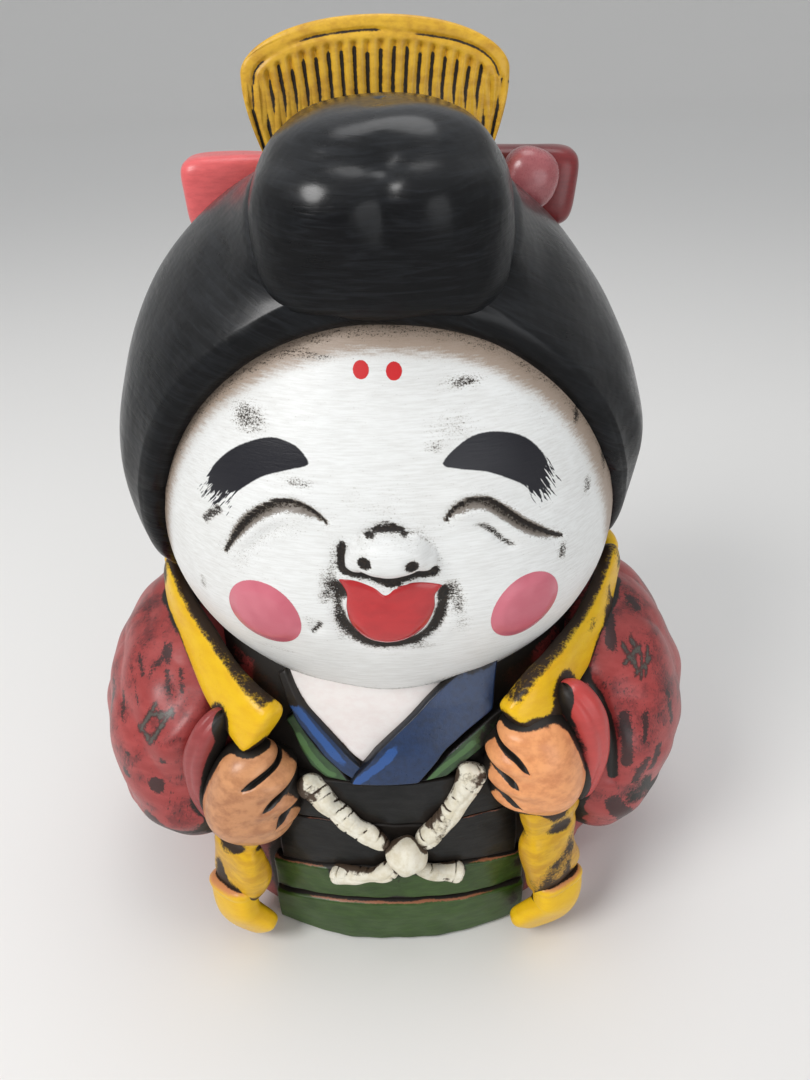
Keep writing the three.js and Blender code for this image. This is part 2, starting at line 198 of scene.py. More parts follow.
# A band along a path: at each station a superellipse, width across by thick outwards, that closes to a point at
# both ends. facing gives the outward way at each point of the path.
def band(path, width, thick, facing, square, taper, blunt, rows=150, cols=72):
    s = np.linspace(-1, 1, rows)
    t = (1 + np.sign(s) * (1 - (1 - np.abs(s)) ** 1.7)) / 2
    fine = curve(path, 400)
    index = t * 399
    centre = np.stack([np.interp(index, np.arange(400), fine[:, k]) for k in range(3)], -1)
    tangent = unit(np.stack([np.interp(index, np.arange(400), np.gradient(fine[:, k])) for k in range(3)], -1))
    out = facing(centre)
    out = unit(out - (out * tangent).sum(-1, keepdims=True) * tangent)
    across = np.cross(out, tangent)
    close = np.sqrt(1 - np.abs(2 * t - 1) ** blunt)
    angle = np.arange(cols) / cols * 2 * math.pi
    c, o = bulge(np.cos(angle), square), bulge(np.sin(angle), square)
    swell = np.ones(rows) if taper is None else taper(t)
    wide = (close * swell * width / 2)[:, None]
    deep = (close * swell * thick / 2)[:, None]
    grid = centre[:, None] + across[:, None] * (c * wide)[..., None] + out[:, None] * (o * deep)[..., None]
    length = np.linalg.norm(np.diff(fine, axis=0), axis=1).sum()
    full = np.ones((rows, cols))
    along = t[:, None] * full
    return grid, {"along": along, "across": c * full, "outer": o * full, "far": along * length}


outwards = lambda p: p * [1, 1, 0]

# Paint: shader maths as plain expressions.
class Wire:  # an output socket that takes part in Python sums
    def __init__(self, graph, socket):
        self.graph, self.socket = graph, socket

    def maths(self, operation, *values):
        return self.graph.node("ShaderNodeMath", {"operation": operation}, dict(enumerate(values)))

    def ramp(self, low, high, start=0.0, stop=1.0):  # an S curve from start at low to stop at high
        return self.graph.node(
            "ShaderNodeMapRange", {"interpolation_type": "SMOOTHSTEP"},
            {0: self, 1: low, 2: high, 3: start, 4: stop},
        )


for sign, operation in {"add": "ADD", "sub": "SUBTRACT", "mul": "MULTIPLY"}.items():
    setattr(Wire, f"__{sign}__", lambda self, other, op=operation: self.maths(op, self, other))
    setattr(Wire, f"__r{sign}__", lambda self, other, op=operation: self.maths(op, other, self))


class Graph:  # a material's node tree
    def __init__(self, name):
        self.material = bpy.data.materials.new(name)
        self.material.use_nodes = True
        self.tree = self.material.node_tree
        self.tree.nodes.clear()

    # Any node: its settings first, then the values or links of its sockets.
    def node(self, kind, settings=None, inputs=None, out=0):
        node = self.tree.nodes.new(kind)
        for key, value in (settings or {}).items():
            setattr(node, key, value)
        for key, value in (inputs or {}).items():
            if isinstance(value, Wire):
                self.tree.links.new(value.socket, node.inputs[key])
            else:
                node.inputs[key].default_value = value
        return Wire(self, node.outputs[out]) if node.outputs else node

    def mark(self, name):  # a number stored on the piece's points
        return self.node("ShaderNodeAttribute", {"attribute_name": name}, out="Fac")

    def place(self, scale=(1, 1, 1), turn=(0, 0, 0)):  # object coordinates in millimetres, stretched
        at = self.node("ShaderNodeTexCoord", out="Object")
        return self.node(
            "ShaderNodeMapping", {"vector_type": "TEXTURE"},
            {"Vector": at, "Rotation": turn, "Scale": tuple(mm / s for s in scale)},
        )

    def grain(self, scale, detail=3.0, rough=0.55, turn=(0, 0, 0), warp=0.0):  # noise of that many humps a mm
        return self.node(
            "ShaderNodeTexNoise", {},
            {"Vector": self.place(scale, turn), "Scale": 1.0, "Detail": detail, "Roughness": rough,
             "Distortion": warp},
        )

    def mix(self, share, one, other):  # one colour where share is 0, the other where it is 1
        colours = [value if isinstance(value, Wire) else (*value, 1) for value in (one, other)]
        return self.node(
            "ShaderNodeMix", {"data_type": "RGBA"}, {0: share, 6: colours[0], 7: colours[1]}, out=2
        )

    def finish(self, colour, roughness, bump, coat=0.0, coatRoughness=0.1, specular=0.5):
        normal = self.node("ShaderNodeBump", {}, {"Strength": 1.0, "Distance": mm, "Height": bump})
        shader = self.node(
            "ShaderNodeBsdfPrincipled", {},
            {"Base Color": colour, "Roughness": roughness, "Normal": normal, "Coat Weight": coat,
             "Coat Roughness": coatRoughness, "Specular IOR Level": specular},
        )
        self.node("ShaderNodeOutputMaterial", {}, {0: shader})
        return self.material


washAndShadeInk = (0.012, 0.009, 0.007)  # the dark antique wash, and the painted shade, left in every hollow


# Brushed paint with dark wash and painted shade in its hollows. tint varies the colour, stroke is the brush grain in
# humps a mm, hold is how strongly the hollows darken with wash and painted shade, and extra paints more on top.
def paintedClay(name, colour, tint, stroke, roughness, hold, bump=0.05, coat=0.0, extra=None,
                washAndShadeColour=washAndShadeInk, specular=0.45):
    g = Graph(name)
    brush = g.grain(stroke, 4.0, 0.6)
    broad = g.grain((0.06, 0.06, 0.06), 2.0)
    fine = g.grain((1.6, 1.6, 1.6), 4.0, 0.65)
    paint = g.mix(brush.ramp(0.35, 0.7) * 0.65 + broad.ramp(0.35, 0.65) * 0.35, colour, tint)
    if extra:
        paint = extra(g, paint, brush, fine)
    # the hollow mark darkens with the wash and with painted shade together
    washAndShade = g.mark("hollow") * hold + g.mark("wash") + (fine - 0.5) * 0.5 + (brush - 0.5) * 0.35
    dark = washAndShade.ramp(0.58, 0.82)
    paint = g.mix(dark, paint, washAndShadeColour)
    rough = roughness + (fine - 0.5) * 0.16 + dark * 0.15
    return g.finish(paint, rough, brush * bump + fine * bump * 0.5, coat, specular=specular)


print("head")
headLow, headHigh = nodeBox("head_shell")
head = {
    "middle": np.array([0.0, (headLow[1] + headHigh[1]) / 2, 106.0]),
    "half": (headHigh - headLow) / 2,
    "up": headHigh[2] - 106.0,
    "down": 106.0 - headLow[2] + 0.2,
    "cheek": {"at": (27.0, 101.0), "size": (15.0, 13.0), "high": 1.6},
    "chin": {"at": (0.5, 77.0), "size": (20.0, 9.0), "high": 1.3},
    "nose": {"at": (0.6, 116.6), "size": (7.9, 4.3), "high": 4.7},
    "wing": {"at": (-5.4, 6.9), "z": 115.4, "size": 2.6, "high": 2.4},
    "nostril": {"at": ((-3.8, 116.2), (4.5, 115.3)), "size": 1.0, "deep": 1.6},
}
eyeLines = {
    "left": [(-31.8, 113.4), (-29.2, 117.4), (-25.4, 121.6), (-21.0, 124.4), (-17.6, 125.2), (-14.2, 124.5),
        (-11.0, 122.6)],
    "right": [(11.4, 122.4), (13.0, 124.0), (15.8, 124.9), (19.0, 124.4), (22.4, 122.0), (26.4, 118.6),
        (30.8, 115.6), (34.8, 113.4)],
}
lidLines = {  # the faint fold under each eye
    "left": [(-29.4, 112.2), (-25.4, 116.6), (-21.6, 119.6), (-17.4, 121.4)],
    "right": [(15.8, 121.2), (19.6, 119.4), (22.8, 116.2), (25.8, 114.2)],
}
noseCrease = [(-4.2, 119.7), (-2.4, 120.8), (0.0, 121.5), (2.4, 121.2), (4.4, 119.9)]
noseScratch = [(-2.2, 122.1), (0.2, 122.5), (2.4, 122.0)]
noseUnder = [
    (-8.3, 118.2), (-8.6, 115.6), (-8.4, 113.2), (-5.7, 112.8), (-3.2, 112.6), (-1.5, 111.7), (1.1, 110.5),
    (2.9, 111.6), (5.5, 112.1), (9.2, 112.5),
]
lipOutline = [
    (-9.3, 110.8), (-7.4, 111.3), (-5.0, 110.9), (-2.5, 109.9), (-0.5, 108.4), (1.5, 109.6), (4.4, 110.5),
    (7.6, 110.3), (10.4, 109.2), (9.0, 107.4), (8.9, 104.2), (7.3, 100.2), (4.2, 96.8), (-0.2, 95.5),
    (-4.6, 96.8), (-7.2, 100.6), (-8.0, 104.8), (-7.8, 108.4),
]
mouthRing = [
    (-9.8, 109.6), (-9.8, 105.0), (-8.8, 100.4), (-5.8, 96.3), (-0.4, 94.4), (4.8, 95.5), (8.4, 98.6),
    (10.2, 103.2), (11.2, 107.8),
]
smileFolds = {
    "left": [(-9.6, 119.5), (-10.2, 114.0), (-11.8, 108.5), (-13.2, 104.5)],
    "dash": [(-15.6, 97.8), (-14.2, 99.4), (-13.0, 101.6)],
    "right": [(11.8, 111.0), (13.4, 106.0), (13.4, 101.0)],
}
brows = {
    "left": [
        (-35.6, 124.6), (-34.0, 128.6), (-28.6, 133.6), (-21.6, 136.6), (-16.6, 136.0), (-14.2, 134.0),
        (-14.0, 132.6), (-17.8, 131.4), (-22.8, 129.6), (-27.0, 126.8), (-30.0, 124.2), (-34.0, 122.4),
    ],
    "right": [
        (10.8, 132.4), (13.3, 135.0), (17.0, 136.7), (21.4, 136.6), (26.4, 134.8), (30.2, 131.3), (32.2, 127.4),
        (31.8, 123.6), (29.6, 122.8), (26.8, 125.8), (23.5, 127.9), (19.1, 130.0), (13.8, 131.3),
    ],
}
cheekSpots = {"left": ((-24.6, 100.9), (7.4, 7.9), -0.35), "right": ((27.2, 100.1), (7.2, 8.0), 0.3)}
browDots = {"left": (-3.6, 148.4), "right": (2.4, 148.1)}
faceOval = [  # the face shows inside this edge of the hair
    (53.2, 104), (51.8, 113), (48.4, 122.5), (44.2, 131), (38.6, 138.8), (31.2, 145.6), (21.7, 151.4),
    (10.7, 154.8),
    (0.0, 155.8), (-8.0, 155.4), (-16.7, 153.4), (-25.7, 149.6), (-33.7, 144.2), (-40.2, 138.0), (-45.8, 130.2),
    (-49.6, 121.5), (-52.4, 112.5), (-53.4, 104),
]
faceWash = {
    "lines": [  # each a line, how strong and how wide
        (noseCrease, 0.66, 0.8), (noseScratch, 0.5, 0.7), (noseUnder, 0.82, 1.3),
        (smileFolds["left"], 0.36, 2.2),
        (smileFolds["dash"], 0.62, 1.0), (smileFolds["right"], 0.3, 2.6), (lidLines["right"], 0.36, 0.9),
        ([(-31.8, 122.0), (-34.5, 120.0), (-37.0, 117.3)], 0.62, 1.5),
        ([(-1.6, 112.2), (1.2, 111.0), (2.8, 112.0)], 0.6, 1.5),
    ],
    # round the mouth it is broad and mottled at the lower left, thinner below and heavier again at the right
    "ringStrength": ([0, 0.12, 0.25, 0.4, 0.5, 0.6, 0.75, 0.88, 1],
        [0.5, 0.3, 0.52, 0.6, 0.72, 0.72, 0.66, 0.62, 0.3]),
    "ringWide": ([0, 0.12, 0.25, 0.4, 0.5, 0.6, 0.75, 1], [1.8, 1.5, 2.8, 2.8, 1.7, 1.8, 2.2, 1.8]),
    "mouthCorners": ((-8.6, 108.6), (10.6, 107.4)),
    "scuffs": [  # where the wash stayed in the brush marks: each a place, a size and how strong
        ((-25.2, 139.1), (4.6, 3.2), 0.5), ((15.2, 145.6), (4.6, 1.4), 0.5), ((34.9, 110.2), (1.3, 2.6), 0.55),
        ((41.3, 120.7), (1.2, 2.2), 0.5), ((-15.3, 129.2), (3.4, 1.3), 0.42), ((9.2, 135.4), (2.6, 1.1), 0.42),
        ((-11.9, 150.2), (5.5, 0.9), 0.36), ((12.5, 138.5), (6.0, 3.0), 0.24),
        ((-38.5, 103.0), (1.2, 2.2), 0.36),
        ((14.4, 100.1), (2.4, 4.0), 0.32), ((-9.0, 97.5), (2.5, 2.2), 0.42), ((6.5, 94.0), (3.8, 1.8), 0.42),
        ((-24.0, 90.0), (5.0, 1.0), 0.26), ((46.0, 122.0), (1.0, 5.0), 0.3), ((-12.2, 110.7), (1.6, 4.2), 0.34),
        ((-15.7, 100.9), (1.6, 2.6), 0.34), ((38.4, 134.3), (0.9, 1.6), 0.45), ((0.0, 118.0), (1.5, 1.5), 0.2),
        ((-2.0, 127.5), (9.0, 5.0), 0.14),
    ],
}


def ellipseIn(flat, at, size, turn=0.0):  # millimetres inside a turned ellipse, roughly
    x, z = flat[:, 0] - at[0], flat[:, 1] - at[1]
    c, s = math.cos(turn), math.sin(turn)
    reach = np.hypot((x * c - z * s) / size[0], (x * s + z * c) / size[1])
    return (1 - reach) * min(size)


def faceRelief(flat):  # how far the modelled face stands proud of the plain egg at each (x, z), in mm
    x, z = flat[:, 0], flat[:, 1]
    spot = lambda at, size, high: high * np.exp(-(((x - at[0]) / size[0]) ** 2) - ((z - at[1]) / size[1]) ** 2)
    rise = spot(head["chin"]["at"], head["chin"]["size"], head["chin"]["high"])
    for side in (-1, 1):
        cheek = head["cheek"]
        rise += spot((side * cheek["at"][0], cheek["at"][1]), cheek["size"], cheek["high"])
    # the mouth's surround swells a little, and drops into a ring round the lower lip
    rise += spot((0.5, 106), (14, 9), 1.0)
    rise -= 1.1 * bell(nearLine(flat, mouthRing, 60)[0], 1.5)
    rise += 1.5 * smooth(insideBy(flat, curve(lipOutline, 96, True)), -0.6, 3.2) * smooth(z, 108.5, 99)
    # nose: a dome with two wings, cut back underneath, with a crease over it
    nose = head["nose"]
    over = ((x - nose["at"][0]) / nose["size"][0]) ** 2 + ((z - nose["at"][1]) / nose["size"][1]) ** 2
    dome = nose["high"] * np.sqrt(np.maximum(0, 1 - over * smooth(over, -0.2, 1.0) ** 0.3))
    for at in head["wing"]["at"]:
        gap = np.hypot(x - at, z - head["wing"]["z"]) / head["wing"]["size"]
        dome = np.maximum(dome, head["wing"]["high"] * np.sqrt(np.maximum(0, 1 - gap**2)))
    rise += dome
    for at in head["nostril"]["at"]:
        rise -= head["nostril"]["deep"] * bell(np.hypot(x - at[0], z - at[1]), head["nostril"]["size"])
    rise -= 0.5 * bell(nearLine(flat, noseCrease)[0], 0.8) + 0.8 * bell(nearLine(flat, noseUnder, 60)[0], 0.7)
    for line in eyeLines.values():  # a groove that fades at its ends, between two soft ridges
        gap, share = nearLine(flat, line, 60)
        depth = smooth(share, 0.0, 0.25) * smooth(share, 1.0, 0.8) * 0.75 + 0.25
        rise += depth * (0.9 * bell(gap, 3.4) - 1.8 * bell(gap, 0.8))
    for line in lidLines.values():
        gap, share = nearLine(flat, line)
        rise -= 0.75 * bell(gap, 0.9) * fading(share)
    for spot in cheekSpots.values():  # the painted spots are low domes
        rise += 0.7 * smooth(ellipseIn(flat, *spot), -0.3, 2.5)
    for line in smileFolds.values():
        gap, share = nearLine(flat, line)
        rise -= 0.45 * bell(gap, 1.3) * fading(share)
    return rise


def faceSurface(flat):  # the point of the plain egg's front at each (x, z), and its outward way
    half = np.where(flat[:, 1] > head["middle"][2], head["up"], head["down"])
    x, z = flat[:, 0] / head["half"][0], (flat[:, 1] - head["middle"][2]) / half
    depth = np.sqrt(np.maximum(1e-4, 1 - x**2 - z**2))
    point = np.stack([flat[:, 0], head["middle"][1] - head["half"][1] * depth, flat[:, 1]], -1)
    return point, unit(np.stack([x / head["half"][0], -depth / head["half"][1], z / half], -1))


def makeHead():
    # An egg with its poles at the two sides, so that the face lies on an even grid. The rows are close in front.
    front = np.linspace(-1.5, 1.5, 236)
    back = np.linspace(1.5, 2 * math.pi - 1.5, 44)[1:-1]
    around = np.concatenate([front, back])
    lift = np.linspace(0, math.pi, 322)[:, None]
    way = np.stack(
        [-np.cos(lift) + 0 * around, -np.sin(lift) * np.cos(around), np.sin(lift) * np.sin(around)], -1
    )
    tall = np.where(way[..., 2] > 0, head["up"], head["down"])
    reach = np.stack([head["half"][0] + 0 * tall, head["half"][1] + 0 * tall, tall], -1)
    grid = head["middle"] + way * reach
    normals = unit(way / reach)
    inFront = way[..., 1] < -0.12
    flat = grid[inFront][:, [0, 2]]
    height = np.zeros(inFront.shape)
    height[inFront] = faceRelief(flat) * smooth(-way[..., 1][inFront], 0.12, 0.3)
    grid = grid + normals * (height + 0.12 * lumps(grid, 9, 3))[..., None]

    def painted(values, elsewhere=-10.0):
        whole = np.full(inFront.shape, elsewhere)
        whole[inFront] = values
        return whole

    x, z = flat[:, 0], flat[:, 1]
    marks = {"brow": painted(np.maximum(*(insideBy(flat, curve(line, 72, True)) for line in brows.values())))}
    ends = np.minimum(*(np.hypot(x - end[0], z - end[1]) for end in ((-34.5, 121.0), (33.8, 122.0))))
    marks["ragged"] = painted(smooth(ends, 9, 2), 0.0)
    marks["cheek"] = painted(np.maximum(*(ellipseIn(flat, *spot) for spot in cheekSpots.values())))
    marks["dot"] = painted(np.maximum(*(1.5 - np.hypot(x - at[0], z - at[1]) for at in browDots.values())))
    wash, stain = np.zeros(len(flat)), np.zeros(len(flat))
    for line in eyeLines.values():  # black along the upper lip of the groove, mottled brown inside it
        line = curve(line, 60)
        gap, share = toLine(flat, line)
        thin = 0.35 + 0.65 * smooth(share, 0.0, 0.3) * smooth(share, 1.0, 0.75)
        upper, _ = toLine(flat, line + np.outer(np.sin(np.linspace(0, math.pi, 60)), [0, 0.95]))
        within = 0.2 * smooth(gap / thin, 1.2, 0.2) + 0.3 * smooth(thin, 0.75, 0.45) * smooth(gap, 0.7, 0.1)
        wash = np.maximum(wash, np.maximum(0.92 * smooth(upper, 0.5, 0.1), within))
        stain = np.maximum(stain, 1.1 * smooth(gap / thin, 1.8, 0.7))
    for line, strength, wide in faceWash["lines"]:
        gap, share = nearLine(flat, line, 40)
        ends = 1 if line is noseUnder else smooth(share, 0, 0.12) * smooth(share, 1, 0.85)
        wash = np.maximum(wash, strength * smooth(gap, wide, wide * 0.2) * ends)
    ring, share = nearLine(flat, mouthRing, 60)
    strength, wide = (np.interp(share, *faceWash[key]) for key in ("ringStrength", "ringWide"))
    wash = np.maximum(wash, strength * smooth(ring / wide, 1.0, 0.15))
    for at in faceWash["mouthCorners"]:
        wash = np.maximum(wash, 0.72 * smooth(np.hypot(x - at[0], (z - at[1]) / 1.3), 2.0, 0.5))
    for at in head["nostril"]["at"]:
        wash = np.maximum(wash, 1.2 * smooth(np.hypot(x - at[0], z - at[1]), 1.75, 0.7))
    for at, size, strength in faceWash["scuffs"]:
        reach = np.hypot((x - at[0]) / size[0], (z - at[1]) / size[1])
        wash = np.maximum(wash, strength * smooth(reach, 1.4, 0.2))
    for line in (*eyeLines.values(), noseCrease, noseUnder, mouthRing, lidLines["left"]):
        stain = np.maximum(stain, 0.24 * smooth(nearLine(flat, line, 40)[0], 4.5, 0.5))
    marks["wash"] = painted(wash, 0.0)
    marks["stain"] = painted(stain, 0.0)
    marks["rim"] = painted(nearLine(flat, faceOval, 90)[0], 20.0)
    return grid, marks


def facePaint(g, paint, fine):
    bristles = [g.grain((3.2, 0.5, 0.35), 2.0, 0.5, (0, lean, 0)) for lean in (0.7, -0.6)]
    side = g.node("ShaderNodeSeparateXYZ", {}, {0: g.place()}).ramp(-2, 2)
    streak = bristles[0] * (1 - side) + bristles[1] * side
    cheek = (g.mark("cheek") + (fine - 0.5) * 0.25).ramp(-0.08, 0.08)
    soft = g.grain((0.12, 0.12, 0.12), 2.0).ramp(0.35, 0.65)
    paint = g.mix(cheek, paint, g.mix(soft, (0.62, 0.165, 0.215), (0.55, 0.125, 0.170)))
    dot = (g.mark("dot") + (fine - 0.5) * 0.2).ramp(-0.05, 0.08)
    paint = g.mix(dot, paint, (0.60, 0.018, 0.022))
    brow = (g.mark("brow") + g.mark("ragged") * (streak - 0.52) * 16 + (fine - 0.5) * 0.4).ramp(-0.1, 0.15)
    return g.mix(brow, paint, (0.009, 0.009, 0.014))


def faceFinish():
    g = Graph("face_white_paint")
    brush = g.grain((0.22, 0.4, 2.6), 5.0, 0.62)
    fine = g.grain((2.4, 2.4, 3.4), 5.0, 0.75)
    weave = g.grain((3.5, 3.5, 5.5), 2.0, 0.6)
    broad = g.grain((0.05, 0.05, 0.05), 2.0)
    white = g.mix(brush.ramp(0.32, 0.68) * 0.7 + broad.ramp(0.4, 0.65) * 0.3, (0.83, 0.84, 0.83),
        (0.71, 0.71, 0.69))
    stain = (g.mark("stain") + (fine - 0.5) * 1.6 + (weave - 0.5) * 1.2).ramp(0.3, 0.75) * 0.85
    paint = g.mix(stain, white, (0.15, 0.115, 0.085))
    near = (g.mark("rim") + (brush - 0.5) * 4.5 + (fine - 0.5) * 2.5).ramp(6.2, 3.4)
    paint = g.mix(near * 0.75, paint, (0.24, 0.13, 0.055))
    # the hollows bring painted shade along with the wash
    washAndShade = g.mark("wash") + g.mark("hollow") * 0.45 + (fine - 0.5) * 1.5 + (weave - 0.5) * 0.8 + (brush - 0.5) * 0.6
    faint = washAndShade.ramp(0.3, 0.62) * 0.45
    dark = washAndShade.ramp(0.54, 0.70)
    paint = facePaint(g, g.mix(faint, paint, (0.22, 0.18, 0.13)), fine)
    paint = g.mix(dark, paint, g.mix(fine.ramp(0.45, 0.62), (0.007, 0.006, 0.006), (0.035, 0.022, 0.014)))
    cheek = g.mark("cheek").ramp(-0.05, 0.1)
    brow = g.mark("brow").ramp(-0.1, 0.2)
    rough = 0.42 + (brush - 0.5) * 0.2 + dark * 0.2 - cheek * 0.22 - brow * 0.06
    height = brush * 0.05 + weave * 0.02 + cheek * 0.08 + g.mark("dot").ramp(-0.05, 0.08) * 0.05 - dark * 0.06
    return g.finish(paint, rough, height, specular=0.4)


grid, marks = makeHead()
addPiece("head", grid, ["head_shell", "nose"], faceFinish(), marks)


def makeLips():
    # Rings from the middle out to the outline, on the face's own surface; the rim tucks under it.
    outline = curve(lipOutline, 144, True)
    middle = np.array([0.6, 104.0])
    front = np.linspace(0, 1, 40)
    tuck = np.linspace(0, 1, 8)[1:]
    ringShare = np.concatenate([front, 1 - 0.02 * tuck, np.linspace(0.97, 0, 14)])
    lift = np.concatenate([0.34 * (1 - front**10), -0.9 * tuck, np.full(14, -1.6)])
    flat = middle + ringShare[:, None, None] * (outline - middle)
    point, normal = faceSurface(flat.reshape(-1, 2))
    rise = faceRelief(flat.reshape(-1, 2)) + np.repeat(lift, len(outline))
    grid = (point + normal * rise[:, None]).reshape(len(ringShare), len(outline), 3)
    seam = np.abs(flat[..., 1] - (105.6 + 0.012 * flat[..., 0] ** 2))
    return grid, {"wash": 0.15 * smooth(ringShare, 0.9, 1.0)[:, None] + 0.1 * bell(seam, 0.5)}


grid, marks = makeLips()
addPiece("lips_painted", grid, ["lips"], paintedClay(
    "lip_red_gloss", (0.50, 0.022, 0.026), (0.40, 0.018, 0.022),
    (0.25, 0.25, 0.5), 0.24, 0.2, 0.03, 0.3), marks)

# Shapes shared by several pieces.
def eggPoints(way, egg):  # a ball of directions as an egg whose lower half has its own height and fullness
    x, y, z = way[..., 0], way[..., 1], way[..., 2]
    power = np.where(z < 0, egg["lower"], egg["upper"])
    spread = np.maximum(np.hypot(x, y), 1e-6) ** (power - 1)
    up = np.where(z < 0, -egg["below"] * np.abs(z) ** egg["lower"], z * egg["radii"][2])
    return np.stack([x * spread * egg["radii"][0], y * spread * egg["radii"][1], up], -1) + egg["at"]


def turned(turn):  # the turn about X, then Y, then Z, each carried along
    x, y, z = (Matrix.Rotation(angle, 3, axis) for angle, axis in zip(turn, "XYZ"))
    return np.array(x @ y @ z)


def lumpPoints(way, lump):  # a boxy ball: each coordinate is the direction's to a power, times its radius
    local = bulge(way, lump.get("power", 1)) * lump["radii"]
    return local @ turned(lump.get("turn", (0, 0, 0))).T + lump["at"]


def lumpGap(points, lump):  # roughly how far each point is outside the boxy ball
    local = np.abs((points - lump["at"]) @ turned(lump.get("turn", (0, 0, 0)))) / lump["radii"]
    power = lump.get("power", 1)
    return ((local ** (2 / power)).sum(-1) ** (power / 2) - 1) * min(lump["radii"])


# A thin plate that lies on a surface: rings from its middle to its outline, a rim rounded by edge, and a back
# sunk under the surface. surface(x, z pairs) gives points and outward ways; relief adds height.
def patch(outline, middle, surface, thick, edge, relief, rings=40, sink=1.6):
    front = 1 - (1 - np.linspace(0, 1, rings)) ** 1.8
    share = np.concatenate([front, np.full(3, 1.0), np.linspace(0.98, 0, 12)])
    flat = np.asarray(middle) + share[:, None, None] * (outline - middle)
    spread = flat.reshape(-1, 2)
    inside = np.maximum(insideBy(spread, outline), 0).reshape(flat.shape[:2])
    inside[0] = inside[0].max()
    rise = relief(spread).reshape(flat.shape[:2])
    height = rise + thick * np.sqrt(np.maximum(0, 1 - (1 - np.clip(inside / edge, 0, 1)) ** 2))
    height[rings:rings + 3] = rise[rings:rings + 3] + np.array([-0.3, -0.8, -1.2])[:, None]
    height[rings + 3:] = rise[rings + 3:] - sink
    point, normal = surface(spread)
    grid = (point + normal * height.reshape(-1, 1)).reshape(*flat.shape[:2], 3)
    return grid, {"x": flat[..., 0], "z": flat[..., 1], "inside": inside}


def polygon(corners, count=240, soft=9):  # a closed outline through the corners, each rounded a little
    loop = np.vstack([corners, corners[:1]]).astype(float)
    length = np.concatenate([[0], np.cumsum(np.linalg.norm(np.diff(loop, axis=0), axis=1))])
    at = np.arange(count) / count * length[-1]
    even = np.column_stack([np.interp(at, length, loop[:, k]) for k in range(2)])
    weight = np.hanning(soft + 2)[1:-1] / np.hanning(soft + 2).sum()
    return sum(w * np.roll(even, k - soft // 2, axis=0) for k, w in enumerate(weight))


def strokes(points, lines):  # how deep each point is in brush strokes, each a path and half its width
    deep = np.full(len(points), -10.0)
    for line, half in lines:
        path = curve(line, 16) if len(line) > 1 else np.array([line[0], np.add(line[0], 0.01)], float)
        deep = np.maximum(deep, half - toLine(points, path)[0])
    return deep


def plain(grid):  # no wash but what the hollows hold, the wash and painted shade there
    return {"wash": np.zeros(grid.shape[:2])}


print("hair")
hairLow, hairHigh = nodeBox("hair_cap")
hair = {
    "at": np.array([-1.6, hairHigh[1] - 54, 118.0]), "radii": ((hairHigh[0] - hairLow[0]) / 2 - 1.2, 54, 66),
    "below": 40, "upper": 1.08, "lower": 0.67, "rim": 4.1,
}
bunTop = nodeBox("forelock")[1][2]
bun = {
    "at": np.array([nodeMiddle("forelock")[0], -17.5, bunTop - 18.2]), "radii": (24.4, 23.2, 20.0), "power": 0.8,
    "turn": (0.2, 0, 0),
}
knotBack = nodeBox("chignon")[1]
chignon = {"at": np.array([0.0, knotBack[1] - 19, knotBack[2] - 16]), "radii": (19, 17, 16), "power": 0.9}


def hairDrop(z):  # the unit sphere's z at a height on the hair's egg
    drop = z - hair["at"][2]
    return np.where(drop < 0, -((np.abs(drop) / hair["below"]) ** (1 / hair["lower"])), drop / hair["radii"][2])


def hairWay(points):  # the unit direction whose egg point is nearest each (x, y, z)
    z = hairDrop(points[:, 2])
    flat = (points[:, :2] - hair["at"][:2]) / np.array(hair["radii"][:2])
    flat = unit(flat) * np.sqrt(1 - z**2)[:, None]
    return np.column_stack([flat, z])


def hairRim():
    # the front edge follows the face's oval; the sides come down to points, and the nape runs between them
    brow = curve([
        (52.2, 95), (53.2, 104), (52.0, 113), (48.8, 122.7), (44.8, 131.6), (39.2, 139.8), (31.8, 147.1),
        (22.2, 153.3),
        (11.0, 156.9), (0.0, 158.0), (-8.0, 157.6), (-17.0, 155.4), (-26.2, 151.2), (-34.2, 145.4),
        (-40.8, 138.8),
        (-46.4, 130.6), (-50.2, 121.7), (-53.0, 112.5), (-53.8, 104), (-52.8, 95),
    ], 150)
    x, z = brow.T
    unitZ = hairDrop(z)
    ring = np.sqrt(1 - unitZ**2)
    power = np.where(unitZ < 0, hair["lower"], hair["upper"])
    unitX = (x - hair["at"][0]) / hair["radii"][0] / ring ** (power - 1)
    front = np.column_stack([unitX, -np.sqrt(np.maximum(ring**2 - unitX**2, 0)), unitZ])
    half = [(51.5, -14, 90.5), (48, 6, 87.5), (40, 30, 84), (20, 48, 81)]
    nape = curve([(-x, y, z) for x, y, z in half] + [(0, 52, 80)] + half[::-1], 90)
    loop = np.vstack([front, hairWay(nape)])
    angle = np.arctan2(loop[:, 2], loop[:, 0])
    order = np.argsort(angle)
    return angle[order], np.arccos(np.clip(loop[:, 1], -1, 1))[order]


